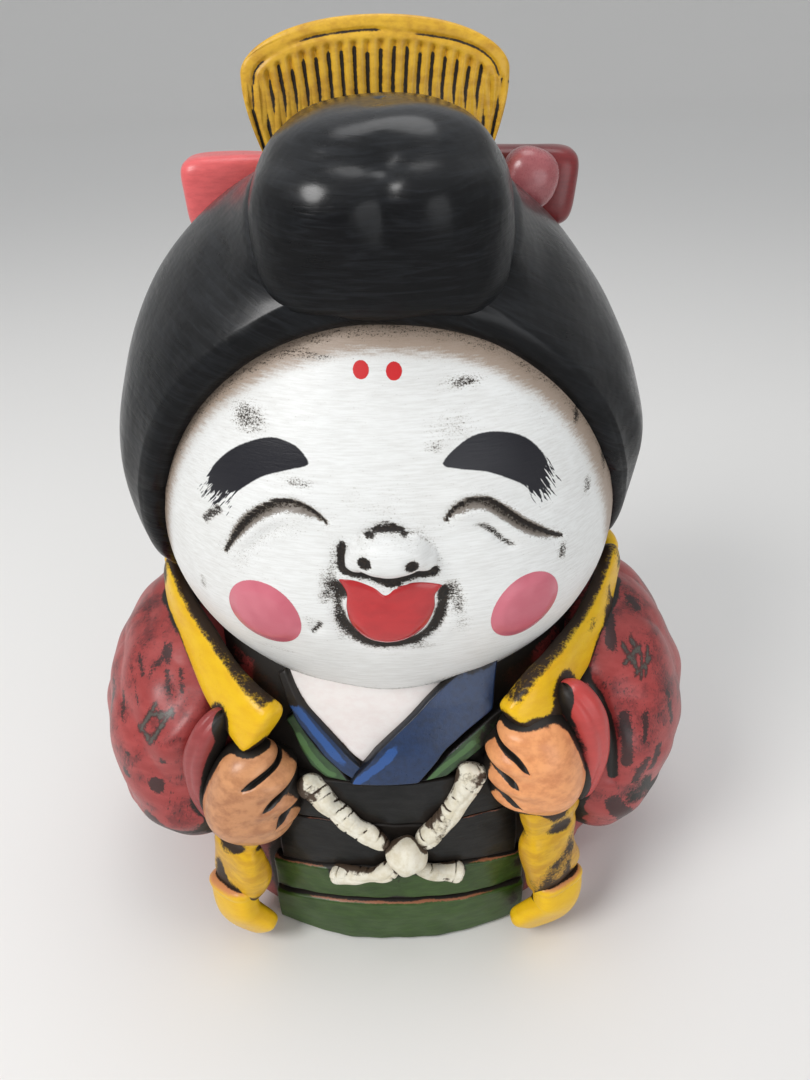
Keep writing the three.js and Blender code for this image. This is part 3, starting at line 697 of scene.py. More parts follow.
def makeHair():
    angle = -math.pi / 2 + np.arange(360) / 180 * math.pi
    rimAngle, rimPolar = hairRim()
    rim = np.interp(angle, rimAngle, rimPolar, period=2 * math.pi)
    kernel = np.hanning(13) / np.hanning(13).sum()
    rim = np.convolve(np.concatenate([rim[-6:], rim, rim[:6]]), kernel, "valid")
    roll = hair["rim"] / 56
    share = np.linspace(0, 1, 176)
    phi = np.linspace(0, math.pi, 26)[1:-1]
    inner = np.linspace(1, 0, 40)
    polar = np.concatenate([
        share[:, None] * (rim - roll), rim - roll + roll * np.sin(phi)[:, None], inner[:, None] * (rim - roll),
    ])
    depth = np.concatenate([0 * share, hair["rim"] * (1 - np.cos(phi)), 0 * inner + 2 * hair["rim"]])
    way = np.stack([np.sin(polar) * np.cos(angle), np.cos(polar), np.sin(polar) * np.sin(angle)], -1)
    surface = eggPoints(way, hair)
    out = unit(way / np.array([hair["radii"][0], hair["radii"][1], np.mean([hair["radii"][2], 50])]))
    # it swells to meet the two big lumps of hair, rolls over above the brow and thickens beside the eyes
    meet = 3.0 * np.clip(1 - lumpGap(surface, bun) / 7, 0, 1) ** 2
    meet += 2.5 * np.clip(1 - lumpGap(surface, chignon) / 9, 0, 1) ** 2
    y, z = surface[..., 1], surface[..., 2]
    lock = 1.6 * np.exp(-(((z - 124) / 15) ** 2) - ((y + 18) / 12) ** 2)
    height = (meet + lock + 0.45 * lumps(surface, 24, 4) + 0.12 * lumps(surface, 8, 14)) * (depth < 0.1)[:, None]
    fade = np.concatenate([1 - smooth(share, 0.93, 1.0) * 0.75, 0 * phi + 0.25, 0 * inner])
    return surface + out * (height * fade[:, None] - depth[:, None])[..., None]


def glossy(grid):  # the varnish is thick on what faces up
    up = gridNormals(grid)[..., 2]
    up[0], up[-1] = up[1].mean(), up[-2].mean()
    return {"gloss": smooth(up, -0.15, 0.6)}


def hairPaint(name, turn):
    g = Graph(name)
    streak = g.grain((0.10, 0.10, 0.9), 4.0, 0.62, turn, 0.8)
    fine = g.grain((0.35, 0.35, 2.6), 3.0, 0.6, turn, 0.5)
    broad = g.grain((0.045, 0.045, 0.045), 2.0)
    black = g.mix(streak.ramp(0.4, 0.75), (0.003, 0.0034, 0.0042), (0.011, 0.0125, 0.015))
    rough = 0.33 + (streak - 0.5) * 0.3 + (broad - 0.5) * 0.3
    dent = g.grain((0.16, 0.16, 0.16), 2.0) * 0.35
    return g.finish(black, rough, streak * 0.09 + fine * 0.03 + dent, g.mark("gloss") * 0.55, 0.2, specular=0.14)


def addHair(name, node, grid, paint, turn=(0, 0, 0)):
    addPiece(name, grid, [node], hairPaint(paint, turn), glossy(grid))


addHair("hair_cap_swept", "hair_cap", makeHair(), "hair_black_swept", (0, 0.5, 0))


def makeBun():
    grid = lumpPoints(ballGrid(200, 320), bun)
    x, y, z = (grid - bun["at"]).transpose(2, 0, 1)
    # a brow over two lobes with a shallow groove between them, and skirts that spread at the lower corners
    ahead = smooth(y, 2, -12)
    lobes = 1.5 * bell(np.hypot(x + 9.5, z - 4), 8) + 1.5 * bell(np.hypot(x - 9.5, z - 7), 7.5)
    lobes -= 0.9 * bell(x - 0.5, 3.0) * smooth(z, -6, 4) * smooth(z, 16, 10)
    brow = 0.8 * bell(z - 16, 4) - 0.7 * bell(z - 11.5, 2.6)
    skirt = 2.2 * smooth(z, 2, -13) * smooth(np.abs(x), 8, 18)
    height = ahead * (lobes + brow) + skirt + 0.35 * lumps(grid, 12, 6) + 0.14 * lumps(grid, 5, 16)
    return push(grid, height - 1.6 * smooth(z, -12, -19) * ahead)


addHair("hair_bun_front", "forelock", makeBun(), "hair_black_bun", (0.2, 0, 0))
grid = lumpPoints(ballGrid(120, 200), chignon)
grid = push(grid, 0.4 * lumps(grid, 12, 7) - 1.1 * bell(grid[..., 0], 2.2) * smooth(grid[..., 2], 165, 178))
addHair("hair_knot_back", "chignon", grid, "hair_black_knot")

print("comb and ribbon")
combLow, combHigh = nodeBox("comb")
comb = {
    "y": (combLow[1] + combHigh[1]) / 2, "half": (combHigh[0] - combLow[0]) / 2, "top": combHigh[2], "thick": 7.0,
    "shoulder": combHigh[2] - 10.5, "foot": combHigh[2] - 33, "halfFoot": 20.0,
    "band": 4.3, "line": 2.9, "teeth": 18, "deep": 1.1,
}


def makeComb():
    # At each place across, a rounded box in depth and height; the teeth are ridges |cos| that fan out upwards.
    s = np.linspace(-1, 1, 420)
    across = np.sign(s) * (1 - (1 - np.abs(s)) ** 1.35)
    x = across * comb["half"]
    high = comb["shoulder"] + (comb["top"] - comb["shoulder"]) * np.sqrt(np.maximum(0, 1 - np.abs(across) ** 2.1))
    spread = np.clip((np.abs(x) - comb["halfFoot"]) / (comb["half"] - comb["halfFoot"]), 0, 1)
    low = comb["foot"] + (comb["shoulder"] - comb["foot"]) * (1 - (1 - spread) ** 0.6)
    turn = (np.arange(150) + 0.5) / 150 * 2 * math.pi
    c, d = bulge(np.sin(turn), 0.35), bulge(np.cos(turn), 0.22)
    centre, half = (high + low) / 2, np.maximum((high - low) / 2, 0)
    end = np.sqrt(np.maximum(0, 1 - np.abs(s) ** 24))[:, None]
    z = centre[:, None] + half[:, None] * c
    y = comb["y"] + d * comb["thick"] / 2 * end
    grid = np.stack([x[:, None] + 0 * z, y, z], -1)
    edge = np.column_stack([x, high])
    gap = toLine(grid[..., [0, 2]].reshape(-1, 2), edge[::6])[0].reshape(z.shape)
    fan = 1 - 0.26 * (comb["top"] - z) / 33
    phase = grid[..., 0] / fan / (comb["half"] - 2.6) * comb["teeth"] / 2
    phase = phase + 0.12 * lumps(grid, 11, 12)
    ridge = np.abs(np.cos(math.pi * phase)) ** 0.9
    field = smooth(gap, comb["band"], comb["band"] + 0.5)
    line = bell(gap - comb["line"] - 0.25 * lumps(grid, 7, 18), 0.42) * smooth(lumps(grid, 5, 19), -1.2, -0.2)
    facing = np.abs(d) > 0.9
    height = (field * comb["deep"] * (ridge * 0.95 - 1) - 0.5 * line + 0.1 * lumps(grid, 6, 13)) * facing
    grid[..., 1] += np.sign(d) * height
    reach = comb["band"] + 1.2 + 1.0 * lumps(grid * [1, 0, 0] + 0.01, 2.2, 17)
    length = smooth(gap, reach, reach + 0.8)
    wash = np.maximum(length * (1.3 - 1.25 * ridge), line * 0.9) * facing + 0.2 * smooth(gap, 1.2, 0.2)
    return grid, {"wash": wash}


grid, marks = makeComb()
addPiece("comb_halfmoon", grid, ["comb"], paintedClay(
    "comb_yellow_paint", (0.78, 0.46, 0.030), (0.52, 0.26, 0.016), (0.4, 0.4, 0.6), 0.4, 0.3, bump=0.06,
    washAndShadeColour=(0.022, 0.015, 0.009)), marks)

ribbon = {
    "radii": (14.5, 8.5, 9), "power": 0.45, "flare": 0.24,
    # the two loops are lit and shaded copies of one red: painted light on the left, painted shade on the right
    "left": ((0.82, 0.145, 0.150), (0.66, 0.105, 0.108)), "right": ((0.22, 0.026, 0.028), (0.16, 0.021, 0.023)),
    "knot": ((0.52, 0.060, 0.062), (0.42, 0.050, 0.052)),
}


def addRibbon(name, node, word, grid):
    paint = paintedClay(f"ribbon_red_{word}", *ribbon[word], (0.3, 0.3, 1.2), 0.3, 0.45, bump=0.04)
    addPiece(name, grid, [node], paint, plain(grid))


for side, word in ((-1, "left"), (1, "right")):
    low, high = nodeBox(f"ribbon_loop_{word}")
    outer = high[0] if side > 0 else low[0]
    at = np.array([outer - side * 14.2, (low[1] + high[1]) / 2, high[2] - 8.8])
    local = bulge(ballGrid(110, 180), ribbon["power"]) * ribbon["radii"]
    out = np.clip(side * local[..., 0] / 14.5, -1, 1)  # the loop widens towards its outer end
    local = local * np.stack([np.ones_like(out), 0.9 + 0.2 * out, 0.82 + ribbon["flare"] * out], -1)
    grid = local @ turned((0, side * 0.12, side * -0.1)).T + at
    grid = push(grid, 0.35 * lumps(grid, 10, 15 + side))
    addRibbon(f"ribbon_{word}", f"ribbon_loop_{word}", word, grid)

middle, (low, high) = nodeMiddle("hair_bead"), nodeBox("hair_bead")
bead = {
    "at": np.array([middle[0] - 1.6, low[1] + 5.3, high[2] - 5.8]), "radii": (6.4, 5.6, 6.3), "power": 0.85,
    "turn": (0, 0.3, 0),
}
grid = lumpPoints(ballGrid(60, 90), bead)
addPiece("bead_pink", grid, ["hair_bead"], paintedClay(
    "bead_pink_paint", (0.38, 0.112, 0.120), (0.30, 0.082, 0.090),
    (0.5, 0.5, 1.0), 0.28, 0.3, 0.03, 0.2), plain(grid))
middle, (low, high) = nodeMiddle("ribbon_knot"), nodeBox("ribbon_knot")
knot = {"at": np.array([middle[0], high[1] - 5, high[2] - 6]), "radii": (6.5, 5, 6), "power": 0.8}
grid = lumpPoints(ballGrid(60, 90), knot)
addRibbon("ribbon_knot_back", "ribbon_knot", "knot", grid)

print("torso")
torso = {
    "outline": [(56, 0), (57, 10), (57.5, 30), (56.5, 50), (54, 62), (50, 72), (45, 80), (36, 88),
        (20, 93.5), (0, 95)],
    "deep": (torsoHigh[1] - torsoLow[1]) / (torsoHigh[0] - torsoLow[0]), "vent": 12.0, "foot": 1.6,
}


def torsoHalf(z):  # the torso's half width at a height
    radius, height = np.array(torso["outline"]).T
    return np.interp(z, height, radius)


def torsoFront(flat):  # the torso's front at each (x, z), and its outward way
    half = torsoHalf(flat[:, 1])
    slope = (torsoHalf(flat[:, 1] + 1) - torsoHalf(flat[:, 1] - 1)) / 2
    y = -torso["deep"] * np.sqrt(np.maximum(half**2 - flat[:, 0] ** 2, 1))
    way = np.stack([flat[:, 0] / half, y / half / torso["deep"] ** 2, -slope], -1)
    return np.stack([flat[:, 0], y, flat[:, 1]], -1), unit(way)


def makeTorso():
    outline = curve(torso["outline"], 170)
    foot = torso["foot"]
    corner = np.linspace(0, math.pi / 2, 8)
    rim = np.column_stack([56 - foot + foot * np.sin(corner), foot - foot * np.cos(corner)])
    vent = torso["vent"]
    under = np.array([
        (0, 16), (vent * 0.5, 16), (vent - 1.5, 15.5), (vent, 14), (vent, 2), (vent + 0.4, 0.6),
        (vent + 1.2, 0.05)])
    floor = np.column_stack([np.linspace(vent + 2, 56 - foot, 26), np.zeros(26)])
    profile = np.vstack([curve(under, 40), floor, rim, outline[outline[:, 1] > foot + 0.4]])
    turn = np.arange(300) / 300 * 2 * math.pi
    radius, z = profile[:, :1], profile[:, 1:]
    grid = np.stack([radius * np.cos(turn), radius * np.sin(turn) * torso["deep"], z + 0 * turn], -1)
    x, y, up = grid.transpose(2, 0, 1)
    fold = 0.8 * np.sin(np.arctan2(y, x) * 9 + lumps(grid, 30, 21)) * smooth(up, 2, 14) * smooth(y, 5, 25)
    height = (fold + 0.5 * lumps(grid, 18, 22)) * smooth(up, 1, 6) * smooth(radius, 20, 40)
    flare = 8 * smooth(np.abs(x), 38, 52) * smooth(y, 16, -2) * bell(up - 26, 12) * smooth(up, 2, 10)
    grid = push(grid, height + flare)
    # painted shade: the coat's front middle, behind the sash, collars and hands, goes near black; darker round the
    # vent too
    front = smooth(np.abs(x), 36, 30) * smooth(y, -20, -34)
    wash = 0.35 * front + 0.9 * (radius < 30) * (z < 20)
    return grid, {"wash": wash, "front": front, "ink": -10 + 0 * x, "grey": 0 * x}


def coatExtra(g, paint, brush, fine):
    coarse = g.grain((0.28, 0.28, 0.28), 4.0, 0.7)
    patches = g.grain((0.09, 0.09, 0.12), 3.0, 0.65)
    worn = (patches * 0.5 + coarse * 0.3 + fine * 0.2).ramp(0.47, 0.60) * 0.7
    paint = g.mix(worn, paint, (0.115, 0.018, 0.020))
    scratch = (g.grain((2.2, 2.2, 0.35), 3.0, 0.6, (0, 0.25, 0)) * 0.6 + patches * 0.4).ramp(0.565, 0.61) * 0.75
    paint = g.mix(scratch, paint, (0.030, 0.014, 0.014))
    # painted shade: the marked front middle goes near black
    dark = g.mark("front").ramp(0.15, 0.6)
    paint = g.mix(dark * 0.92, paint, (0.022, 0.014, 0.009))
    inkIn = g.mark("ink") + ((fine - 0.5) * 2.6 + (coarse - 0.5) * 2.0) * (1 - g.mark("grey") * 0.5)
    paint = g.mix(inkIn.ramp(-0.35, 0.25) * 0.9, paint, (0.018, 0.012, 0.012))
    return g.mix(inkIn.ramp(0.1, 0.5) * g.mark("grey"), paint, (0.085, 0.078, 0.066))


coatLook = dict(
    colour=(0.30, 0.036, 0.034), tint=(0.40, 0.064, 0.060), stroke=(0.16, 0.16, 0.5), roughness=0.36, hold=1.0,
    bump=0.05, extra=coatExtra,
)
grid, marks = makeTorso()
addPiece("coat_body", grid, ["torso_shell"], paintedClay("coat_red_body", **coatLook), marks)

chestOutline = polygon([
    (-25, 79), (-22.4, 74.5), (-18.8, 70), (-14.3, 65.6), (-9, 60.6), (-6, 58), (-2, 62), (5.6, 69), (12, 75),
    (17, 80), (15, 86), (0, 88), (-17, 86),
])
chestRelief = lambda flat: 0.2 * lumps(np.column_stack([flat, flat[:, 0]]), 8, 29)
grid, marks = patch(chestOutline, (-3, 76), torsoFront, 1.6, 1.2, chestRelief)
addPiece("chest_skin", grid, ["chest"], paintedClay(
    "chest_white_paint", (0.80, 0.765, 0.74), (0.76, 0.69, 0.665), (0.4, 0.4, 0.8), 0.5, 0.35, bump=0.05,
    washAndShadeColour=(0.10, 0.05, 0.03)), {"wash": 0.45 * smooth(marks["inside"], 1.6, 0.2)})


def sashOutline(low, high, half, lowArch, highArch):  # a long plate whose edges arch down towards its ends
    x = np.linspace(-half, half, 110)
    arch = (x / half) ** 2
    return polygon(np.vstack([
        np.column_stack([x, low - lowArch * arch]), np.column_stack([x, high - highArch * arch])[::-1]]), 420, 7)


sash = {
    "hem_band": {
        "low": 0.4, "high": 16.4, "half": 31.0, "arch": (0.0, 3.4), "thick": 3.7, "edge": 1.1, "line": 1.0},
    "green_band": {
        "low": 16.6, "high": 28.4, "half": 31.0, "arch": (3.4, 4.2), "thick": 2.9, "edge": 1.0, "line": 0.8},
    "sash_lower": {
        "low": 28.4, "high": 42.4, "half": 28.8, "arch": (4.2, 0.8), "thick": 2.0, "edge": 0.8, "line": 0.75},
    "sash_upper": {
        "low": 42.4, "high": 54.6, "half": 27.0, "arch": (0.8, 0.0), "thick": 2.3, "edge": 0.8, "line": 0.5},
}


def sashExtra(g, paint, brush, fine):  # a thin line where the clay shows along the upper edge
    line = (g.mark("top") + (brush - 0.5) * 0.9 + (fine - 0.5) * 0.6).ramp(0.38, 0.62)
    return g.mix(line * 0.8, paint, (0.38, 0.13, 0.07))


for node, plate in sash.items():
    outline = sashOutline(plate["low"], plate["high"], plate["half"], *plate["arch"])
    relief = lambda flat: 0.25 * flatLumps(flat, 9, 31) + 0.1 * flatLumps(flat, 3, 32)
    middle = (0.0, (plate["low"] + plate["high"]) / 2)
    grid, marks = patch(outline, middle, torsoFront, plate["thick"], plate["edge"], relief)
    arch, aside = (marks["x"] / plate["half"]) ** 2, np.abs(marks["x"])
    topGap = plate["high"] - plate["arch"][1] * arch - marks["z"]
    lowGap = marks["z"] - plate["low"] + plate["arch"][0] * arch
    fade = smooth(aside, 29, 16) if node == "hem_band" else 0.75 + 0.25 * smooth(aside, 10, 25)
    marks = {
        "wash": 0.3 * smooth(aside, 20, 30) + 0.4 * smooth(lowGap, 2.4, 0),
        "top": plate["line"] * fade * bell(topGap - 0.2, 0.55),
    }
    green = node in ("hem_band", "green_band")
    look = ((0.020, 0.050, 0.005), (0.042, 0.092, 0.014)) if green else ((0.006, 0.006, 0.006),
        (0.015, 0.015, 0.015))
    addPiece(f"{node}_painted", grid, [node], paintedClay(
        f"{node}_paint", *look, stroke=(0.25, 0.25, 0.9), roughness=0.36, hold=0.9, bump=0.06, extra=sashExtra,
        specular=0.4 if green else 0.25), marks)

print("collars and cord")
def addBand(name, node, slot, material, path, width, thick, facing, square, extra=None, taper=None, relief=0.15,
            blunt=14, rows=150):
    grid, marks = band(path, width, thick, facing, square, taper, blunt, rows)
    height = relief * lumps(grid, 6, len(name)) + 0 * marks["along"]
    marks["wash"] = 0 * marks["along"]
    if extra:
        more, marks["wash"] = extra(grid, marks)
        height = height + more
    grid = push(grid, height)
    addPiece(name, grid, [node], material, marks)


# Each collar is a flat plate over the chest: its corners, how far it stands out, and where its bright stripe runs.
collars = {
    "outer_collar_left": ([
        (-24.5, 67), (-22.8, 64.5), (-21.2, 61), (-19, 57), (-15.6, 54.4), (-9.5, 54.0), (-12, 57.8),
        (-15.5, 61.2),
        (-19, 65), (-22, 69.5)], 2.3, [(-21, 64), (-16, 57.2), (-12, 55.4)], "green"),
    "inner_collar_left": ([
        (-25.5, 76), (-23.2, 70.5), (-21.4, 67), (-19, 64.2), (-15.5, 60.5), (-12, 57.0), (-8.9, 54.8),
        (-5.0, 57.6),
        (-7.4, 59.6), (-10.7, 62.9), (-13.7, 66), (-17.2, 69.6), (-20.6, 73), (-23, 78)], 3.0,
        [(-21.8, 71.5), (-16.5, 65.4), (-8.5, 57)], "blue"),
    "outer_collar_right": ([
        (5.0, 54.2), (11, 61.2), (16.3, 64.8), (21.0, 67.8), (27, 70), (26, 65), (21, 61.8), (15, 57.6),
        (11.5, 55.0)],
        3.0, [(7.5, 55.6), (13, 60), (20, 64.4)], "green"),
    "inner_collar_right": ([
        (-10.4, 54.4), (-8.9, 57.8), (-4.9, 62.6), (-0.2, 67.2), (4.5, 71.6), (9.2, 75.4), (14.2, 78.9),
        (18, 84),
        (25, 84), (22.9, 78.8), (21.6, 68.9), (15.8, 65.6), (10.5, 61.7), (5.3, 54.6)], 4.0,
        [(-8.4, 55.6), (-3, 60.6), (2, 65.4)], "blue"),
}
cloth = {
    "blue": {"colour": (0.013, 0.036, 0.105), "tint": (0.010, 0.022, 0.056), "bright": (0.024, 0.090, 0.30)},
    "green": {"colour": (0.035, 0.085, 0.028), "tint": (0.020, 0.045, 0.018), "bright": (0.075, 0.165, 0.055)},
}


def clothPaint(name, look):  # black along the rim, and one bright brushed stripe
    def extra(g, paint, brush, fine):
        stripe = (g.mark("stripe") + (brush - 0.5) * 1.3).ramp(0.35, 0.8)
        paint = g.mix(stripe * 0.85, paint, look["bright"])
        rim = (g.mark("rim") + (fine - 0.5) * 0.35).ramp(0.35, 0.6)
        return g.mix(rim * 0.9, paint, (0.005, 0.006, 0.009))
    return paintedClay(name, look["colour"], look["tint"], (0.7, 0.7, 0.7), 0.3, 0.8, bump=0.05, extra=extra)


for node, (corners, thick, line, kind) in collars.items():
    outline = polygon(corners, 280, 7)
    relief = lambda flat: 0.2 * flatLumps(flat, 7, 33)
    grid, marks = patch(outline, np.mean(corners, axis=0), torsoFront, thick, 0.9, relief)
    gap, share = nearLine(np.stack([marks["x"], marks["z"]], -1), line)
    wide = 1.5 if kind == "blue" else 1.2
    stripe = smooth(gap, wide, wide * 0.3) * smooth(share, 1.0, 0.7)
    rim = smooth(marks["inside"], 1.25 if thick > 3.5 else 1.0, 0.35)
    addPiece(f"{node}_cloth", grid, [node], clothPaint(f"{node}_paint", cloth[kind]),
             {"wash": 0.9 * smooth(marks["z"], 69, 72) * (node == "inner_collar_left"), "stripe": stripe, "rim": rim})


# Cord.
def cordTwist(grid, marks):  # two strands twisted together, roughly modelled, with short notches at the sides
    turn = np.arctan2(marks["outer"], marks["across"])
    uneven = 0.9 * lumps(grid, 4, 45)
    wave = np.cos(turn * 0.5 + marks["far"] * 1.25 + uneven)
    notch = smooth(np.abs(wave), 0.36, 0.0)
    side = smooth(np.abs(marks["across"]), 0.2, 0.8)
    patchy = smooth(lumps(grid, 3.5, 46), -0.35, 0.3)
    groove = bell(marks["across"] - 0.25 * np.sin(marks["far"] * 0.35), 0.16) * (marks["outer"] > 0) * 0.5
    height = -0.8 * notch * patchy * (0.25 + 0.75 * side) - 0.45 * groove + 0.3 * lumps(grid, 3, 41)
    dirty = 0.62 * smooth(lumps(grid, 5, 47), 0.0, 0.45)
    return height, np.maximum(notch * patchy * (0.1 + 0.5 * side), np.maximum(0.3 * groove, dirty))


def cordPaint(name):
    return paintedClay(
        name, (0.84, 0.81, 0.70), (0.66, 0.60, 0.45), (0.5, 0.5, 0.5), 0.5, 0.7, bump=0.12,
        washAndShadeColour=(0.07, 0.045, 0.028))


cords = {  # each a path, how thick, and how much it thins out along the way
    "cord_run_left": (
        [(-21.8, -46.8, 55), (-18.2, -48, 51.8), (-14, -49.6, 47.2), (-9, -51, 42.6),
            (-2, -52.2, 38)], 6.2, 0.1),
    "cord_run_right": (
        [(18.6, -46.4, 58), (17, -47.6, 54.6), (14.4, -49, 49), (10.4, -50.6, 43.6),
            (4.5, -52.2, 38)], 7.2, 0.0),
    "cord_tail_left": (
        [(-16.8, -49.6, 25.6), (-14, -50.4, 26), (-9.3, -51.4, 26.8), (-5, -52.2, 28),
            (-0.5, -52.4, 31)], 5.6, 0.0),
    "cord_tail_right": ([(15.4, -49.8, 25.4), (12.2, -50.6, 26.2), (8.4, -51.6, 27.2),
        (4.5, -52.4, 31)], 5.4, 0.0),
}
for node, (path, width, slim) in cords.items():
    taper = lambda t, slim=slim: 0.86 + slim + 0.14 * np.cos(t * 5) - slim * t
    addBand(f"{node}_rope", node, "cord_cream", cordPaint(f"{node}_paint"), path, width, width * 0.9, outwards, 0.9,
            cordTwist, taper, 0.1, 7)

low, high = nodeBox("cord_knot")
at = np.array([(low[0] + high[0]) / 2 + 0.6, low[1] + 4.6, (low[2] + high[2]) / 2 - 2.2])
way = ballGrid(90, 140, axis=1)
grid = way * (4.7, 4.5, 4.7) + at
turn = np.arctan2(way[..., 2], way[..., 0])
lobes = 0.35 * np.cos(turn * 4 + 0.6) * smooth(np.hypot(way[..., 0], way[..., 2]), 0.35, 0.95)
grid = push(grid, lobes + 0.25 * lumps(grid, 4, 44))
wash = 0.35 * smooth(np.hypot(way[..., 0], way[..., 2]), 0.6, 1.0)
addPiece("cord_knot_round", grid, ["cord_knot"], cordPaint("cord_knot_paint"), {"wash": wash})

print("lapels and cuffs")
handRise = {word: nodeMiddle(f"hand_{word}")[2] for word in ("left", "right")}


def yellowPaint(name, colour=(0.84, 0.52, 0.012), tint=(0.76, 0.42, 0.010), hold=0.9, extra=None):
    return paintedClay(
        name, colour, tint, (0.2, 0.2, 0.6), 0.3, hold, bump=0.05, extra=extra,
        washAndShadeColour=(0.03, 0.016, 0.008), specular=0.3)


def lapelEdge(g, paint, brush, fine):  # bare orange ground along the outer edge
    line = (g.mark("edgeLine") + (fine - 0.5) * 0.5).ramp(0.45, 0.65)
    return g.mix(line * 0.85, paint, (0.62, 0.17, 0.05))


def lapelWear(grid, marks):  # dark wash along the inner side and in patches towards both ends
    t, a = marks["along"], marks["across"]
    side = np.sign(grid[..., 0].mean())
    marks["edgeLine"] = smooth(a * side, 0.86, 0.97) * smooth(t, 0.85, 0.7)
    wash = 0.75 * smooth(t, 0.22, 0.02) + (0.66 if side > 0 else 0.4) * smooth(t, 0.86 if side > 0 else 0.93, 0.99)
    wash = np.maximum(wash, 0.8 * smooth(-a * side, 0.5, 0.97) * smooth(t, 1.0, 0.88))
    wash = wash - 0.7 * smooth(a * side, 0.1, 0.6) * smooth(t, 0.25, 0.45) * smooth(t, 1.0, 0.93)
    blotch = 0.5 * smooth(lumps(grid, 7, 51), 0.15, 0.8)
    return 0.35 * lumps(grid, 9, 52), np.maximum(wash, blotch * smooth(t, 0.75, 0.35))


def addLapel(part, word, path, *shape, **paint):
    material = yellowPaint(f"lapel_yellow_{part}_{word}", **paint)
    addBand(f"lapel_{part}_{word}_cloth", f"lapel_{part}_{word}", "lapel_yellow", material, path, *shape)


def upAndOut(lift):  # faces away from the doll's axis and upwards
    return lambda p: np.stack([p[:, 0], p[:, 1], lift + 0 * p[:, 0]], -1)


for side, word in ((-1, "left"), (1, "right")):
    flip = np.array([side, 1, 1])
    inner = [(34.5, -41, 72.5), (28.2, -47, 69)] if word == "left" else [(34.5, -41, 75), (27.5, -47, 69)]
    path = np.array([(57, -2, 87), (51.5, -15, 81.5), (43, -29, 76.5)] + inner) * flip
    addLapel("upper", word, path, 14, 7, upAndOut(22), 0.65, lapelWear, lambda t: 0.58 + 0.47 * t, 0.15, 30,
             extra=lapelEdge)
    out = 1.6 if word == "left" else 0
    path = np.array([(35 + out, -46.5, handRise[word] - 8), (37 + out, -47.6, 30),
        (38.6 + out, -45.6, 19)]) * flip

    def lowerWear(grid, marks):
        blotch = 0.62 * smooth(lumps(grid, 6, 55), -0.2, 0.55)
        return 0.9 * lumps(grid, 8, 56) - 1.0 * bell(marks["along"] - 0.25, 0.06), blotch

    addLapel("lower", word, path, 15 if word == "left" else 16, 8, outwards, 0.7, lowerWear,
             colour=(0.50, 0.24, 0.012), tint=(0.74, 0.44, 0.012), hold=1.0)
    path = np.array([(41.8, -47.2, 21.5), (40.2, -49, 12.5), (33.2, -49.8, 5.7)] if word == "left" else
                    [(39.4, -47.6, 20.5), (38.4, -49.4, 12.5), (29.5, -50.2, 5.7)]) * flip

    def endWear(grid, marks):
        rim = smooth(marks["along"], 0.14, 0.04)
        return 0.5 * lumps(grid, 8, 57) + 1.0 * rim, 0.42 * smooth(lumps(grid, 7, 58), 0.35, 0.9)

    def pinkRim(g, paint, brush, fine):
        rim = (g.mark("along") + (fine - 0.5) * 0.03).ramp(0.075, 0.035)
        return g.mix(rim * 0.8, paint, (0.62, 0.22, 0.13))

    addLapel("end", word, path, 14, 7, outwards, 0.7, endWear, lambda t: 1.06 - 0.35 * t**3, extra=pinkRim)
    lift = -5 if word == "left" else 0
    path = np.array([(37.5, -41.5, 77), (41.8, -43.6, 71), (44.6, -43.5, 60), (44, -42.5, 42)])
    path = (path + [0, 0, lift]) * flip

    def cuffFold(grid, marks):  # bright on its outer half, and black down into the gap beside the fist as painted shade
        lean = marks["across"] * side
        t = marks["along"]
        edge = (-0.9 if word == "right" else -0.8) + 1.1 * smooth(t, 0.3, 0.0) + 0.9 * smooth(t, 0.65, 1.0)
        wash = 0.9 * smooth(lean, edge, edge - 0.3) - 0.5 * smooth(lean, 0, 0.4)
        return -0.6 * bell(lean + 0.3, 0.3) * (marks["outer"] > 0), wash

    cuffLook = dict(coatLook, hold=0.6, extra=None, colour=(0.52, 0.060, 0.055), tint=(0.44, 0.050, 0.046))
    # painted shade: the left cuff, deep in the gap by the fist, is given a darker red
    if word == "left":
        cuffLook.update(colour=(0.26, 0.040, 0.040), tint=(0.34, 0.060, 0.060))
    wide = 9.0 if word == "right" else 7.0
    addBand(f"cuff_{word}_fold", f"cuff_{word}", "coat_red", paintedClay(f"coat_red_cuff_{word}", **cuffLook), path,
            wide, 10, outwards, 0.85, cuffFold, lambda t: 0.45 + 0.55 * np.sin(math.pi * t) ** 0.6)

half = [(58, 0, 86.5), (52, 17, 83), (38, 33, 78), (19, 43, 74), (0, 46, 72.5)]
path = np.array([(-x, y, z) for x, y, z in half] + half[-2::-1])
addBand("lapel_neck_cloth", "lapel_neck", "lapel_yellow", yellowPaint("lapel_yellow_neck"), path, 9.5, 7.5,
        upAndOut(30), 0.8, relief=0.3, rows=320)

